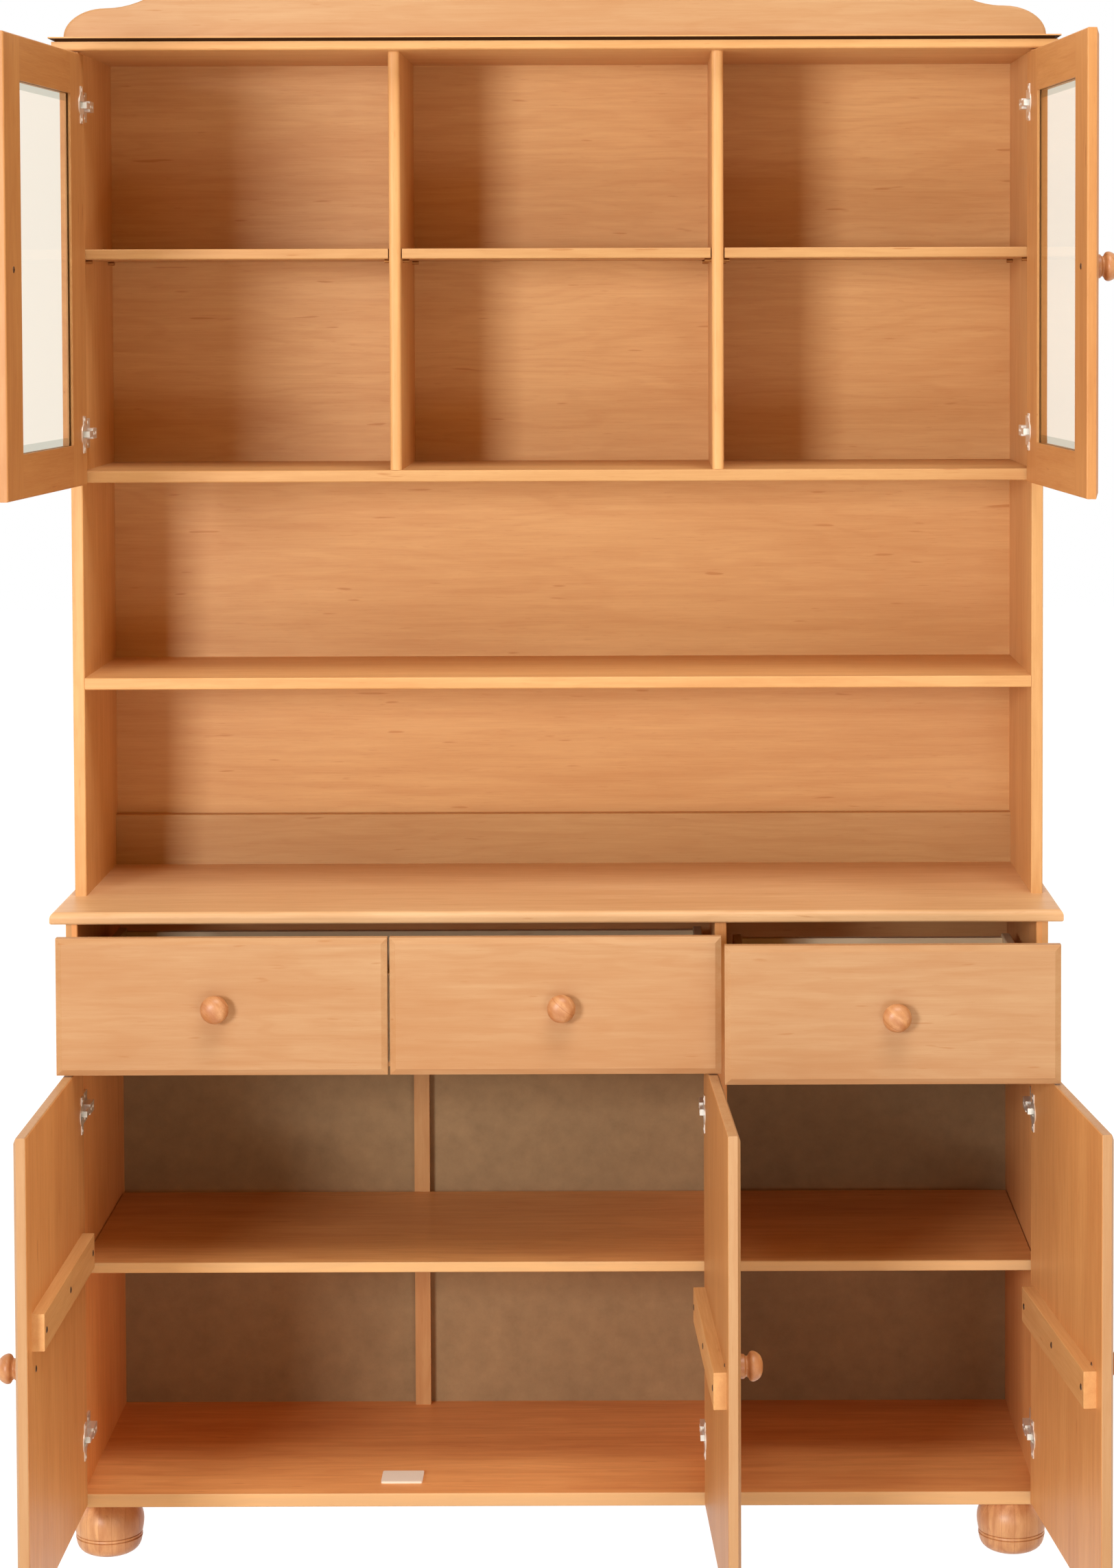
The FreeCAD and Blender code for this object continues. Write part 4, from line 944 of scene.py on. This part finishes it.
class DRESSER_OT_set_stage(bpy.types.Operator):
    """Set the floor, the soft lights and the camera"""
    bl_idname = "dresser.set_stage"
    bl_label = "Set stage"

    def execute(self, context):
        studio = context.scene.dresser_studio
        self.lay_floor()
        self.light_sky(context, studio)
        for name, place, size, power, colour in (
                ("key_light", (-2.6, -5.4, 1.9), 1.2, studio.key_power, studio.key_colour[:3]),
                ("top_light", (0.6, -2.4, 6.0), 2.8, studio.top_power, WHITE),
                ("low_light", (0.8, -2.6, 0.55), 0.6, studio.low_power, WHITE),
                ("rear_light", (-1.5, 4.8, 4.3), 2.0, studio.rear_power, WHITE),
                ("left_light", (-5.5, 1.2, 1.8), 2.5, studio.side_power, WHITE),
                ("right_light", (5.5, 1.2, 1.8), 2.5, studio.side_power, WHITE)):
            self.hang_lamp(name, Vector(place), size, power, colour)
        self.stand_camera(context, studio)
        context.scene.view_settings.view_transform = "Standard"
        return {"FINISHED"}

    def seen_directly(self, tree):
        """One where the camera sees a surface, straight, in metal or through glass, else zero."""
        path = add(tree, "ShaderNodeLightPath").outputs
        seen = path["Is Camera Ray"]
        for ray in ("Is Glossy Ray", "Is Transmission Ray"):
            seen = add(tree, "ShaderNodeMath", {0: seen, 1: path[ray]}, operation="MAXIMUM").outputs[0]
        return seen

    def lay_floor(self):
        """A matt white floor that fades into the background and keeps a faint shadow."""
        deselect_all()
        bpy.ops.mesh.primitive_plane_add(size=FLOOR_SIZE, location=(0, 0, cad_box[0][2]))
        floor = bpy.context.object
        floor.name = "studio_floor"
        material, tree = blank("matt_white_floor")
        paint = add(tree, "ShaderNodeBsdfDiffuse", {"Color": srgb("F4F4F4")})
        glow = add(tree, "ShaderNodeEmission", {"Color": grey(1.0), "Strength": 1.25})
        share = add(tree, "ShaderNodeMath", {0: self.seen_directly(tree), 1: 0.8}, operation="MULTIPLY")
        both = add(tree, "ShaderNodeMixShader", {0: share.outputs[0], 1: paint.outputs[0],
                                                 2: glow.outputs[0]})
        add(tree, "ShaderNodeOutputMaterial", {"Surface": both.outputs[0]})
        floor.data.materials.append(material)

    def light_sky(self, context, studio):
        """White where the camera sees it, and a dim warm light for the rest."""
        world = bpy.data.worlds.new("white_studio")
        context.scene.world = world
        world.use_nodes = True
        tree = world.node_tree
        tree.nodes.clear()
        seen = self.seen_directly(tree)
        strength = add(tree, "ShaderNodeMapRange", {"Value": seen, "To Min": studio.sky, "To Max": 1.0})
        tone = add(tree, "ShaderNodeMix", {SHARE: seen, FIRST: studio.sky_colour, SECOND: grey(1.0)},
                   data_type="RGBA").outputs[BLEND]
        sky = add(tree, "ShaderNodeBackground", {"Color": tone, "Strength": strength.outputs["Result"]})
        add(tree, "ShaderNodeOutputWorld", {"Surface": sky.outputs[0]})

    def hang_lamp(self, name, place, size, power, colour):
        """A square soft light aimed at the middle of the dresser. It isn't seen through the panes, and
        the rear one leaves no glare on the cornice."""
        deselect_all()
        bpy.ops.object.light_add(type="AREA", location=place)
        lamp = bpy.context.object
        lamp.name = name
        lamp.data.size = size
        lamp.data.energy = power
        lamp.data.color = colour
        lamp.visible_transmission = False
        lamp.visible_glossy = name != "rear_light"
        lamp.rotation_euler = (LAMPS_AIM - place).to_track_quat("-Z", "Y").to_euler()

    def stand_camera(self, context, studio):
        """The camera stands a little right of the middle at head height and looks slightly down."""
        ahead = Vector((0, math.cos(CAMERA_PITCH), -math.sin(CAMERA_PITCH)))
        level_up = RIGHT.cross(ahead)
        right = math.cos(CAMERA_ROLL) * RIGHT + math.sin(CAMERA_ROLL) * level_up
        up = -math.sin(CAMERA_ROLL) * RIGHT + math.cos(CAMERA_ROLL) * level_up
        bpy.ops.object.camera_add(location=CAMERA_PLACE)
        camera = bpy.context.object
        camera.name = "front_camera"
        camera.rotation_euler = Matrix((right, up, -ahead)).transposed().to_euler()
        camera.data.sensor_fit = "VERTICAL"
        camera.data.sensor_height = 36
        camera.data.lens = studio.focal_length
        camera.data.shift_x, camera.data.shift_y = CAMERA_SHIFT
        context.scene.camera = camera


# ---------------------------------------------------------------- panel
class DRESSER_PT_panel(bpy.types.Panel):
    bl_idname = "DRESSER_PT_panel"
    bl_label = "Dresser with hutch"
    bl_space_type = "VIEW_3D"
    bl_region_type = "UI"
    bl_category = "Dresser"

    def draw(self, context):
        for step in STEPS:
            self.layout.operator(step.bl_idname)
        for group in ("dresser_turnings", "dresser_colours", "dresser_studio"):
            settings = getattr(context.scene, group)
            box = self.layout.box()
            for name in settings.__annotations__:
                box.prop(settings, name)


STEPS = (DRESSER_OT_set_stage, DRESSER_OT_finish_boards, DRESSER_OT_finish_fittings,
         DRESSER_OT_turn_feet, DRESSER_OT_turn_knobs, DRESSER_OT_drive_screws)
GROUPS = (("dresser_colours", DresserColours), ("dresser_turnings", DresserTurnings),
          ("dresser_studio", DresserStudio))


def register():
    for name, group in GROUPS:
        bpy.utils.register_class(group)
        setattr(bpy.types.Scene, name, PointerProperty(type=group))
    for step in STEPS:
        bpy.utils.register_class(step)
    bpy.utils.register_class(DRESSER_PT_panel)


def unregister():
    bpy.utils.unregister_class(DRESSER_PT_panel)
    for step in reversed(STEPS):
        bpy.utils.unregister_class(step)
    for name, group in reversed(GROUPS):
        delattr(bpy.types.Scene, name)
        bpy.utils.unregister_class(group)


def main():
    register()
    for step in STEPS:
        operator = getattr(bpy.ops.dresser, step.bl_idname.split(".")[1])
        operator()


if __name__ == "__main__":
    main()
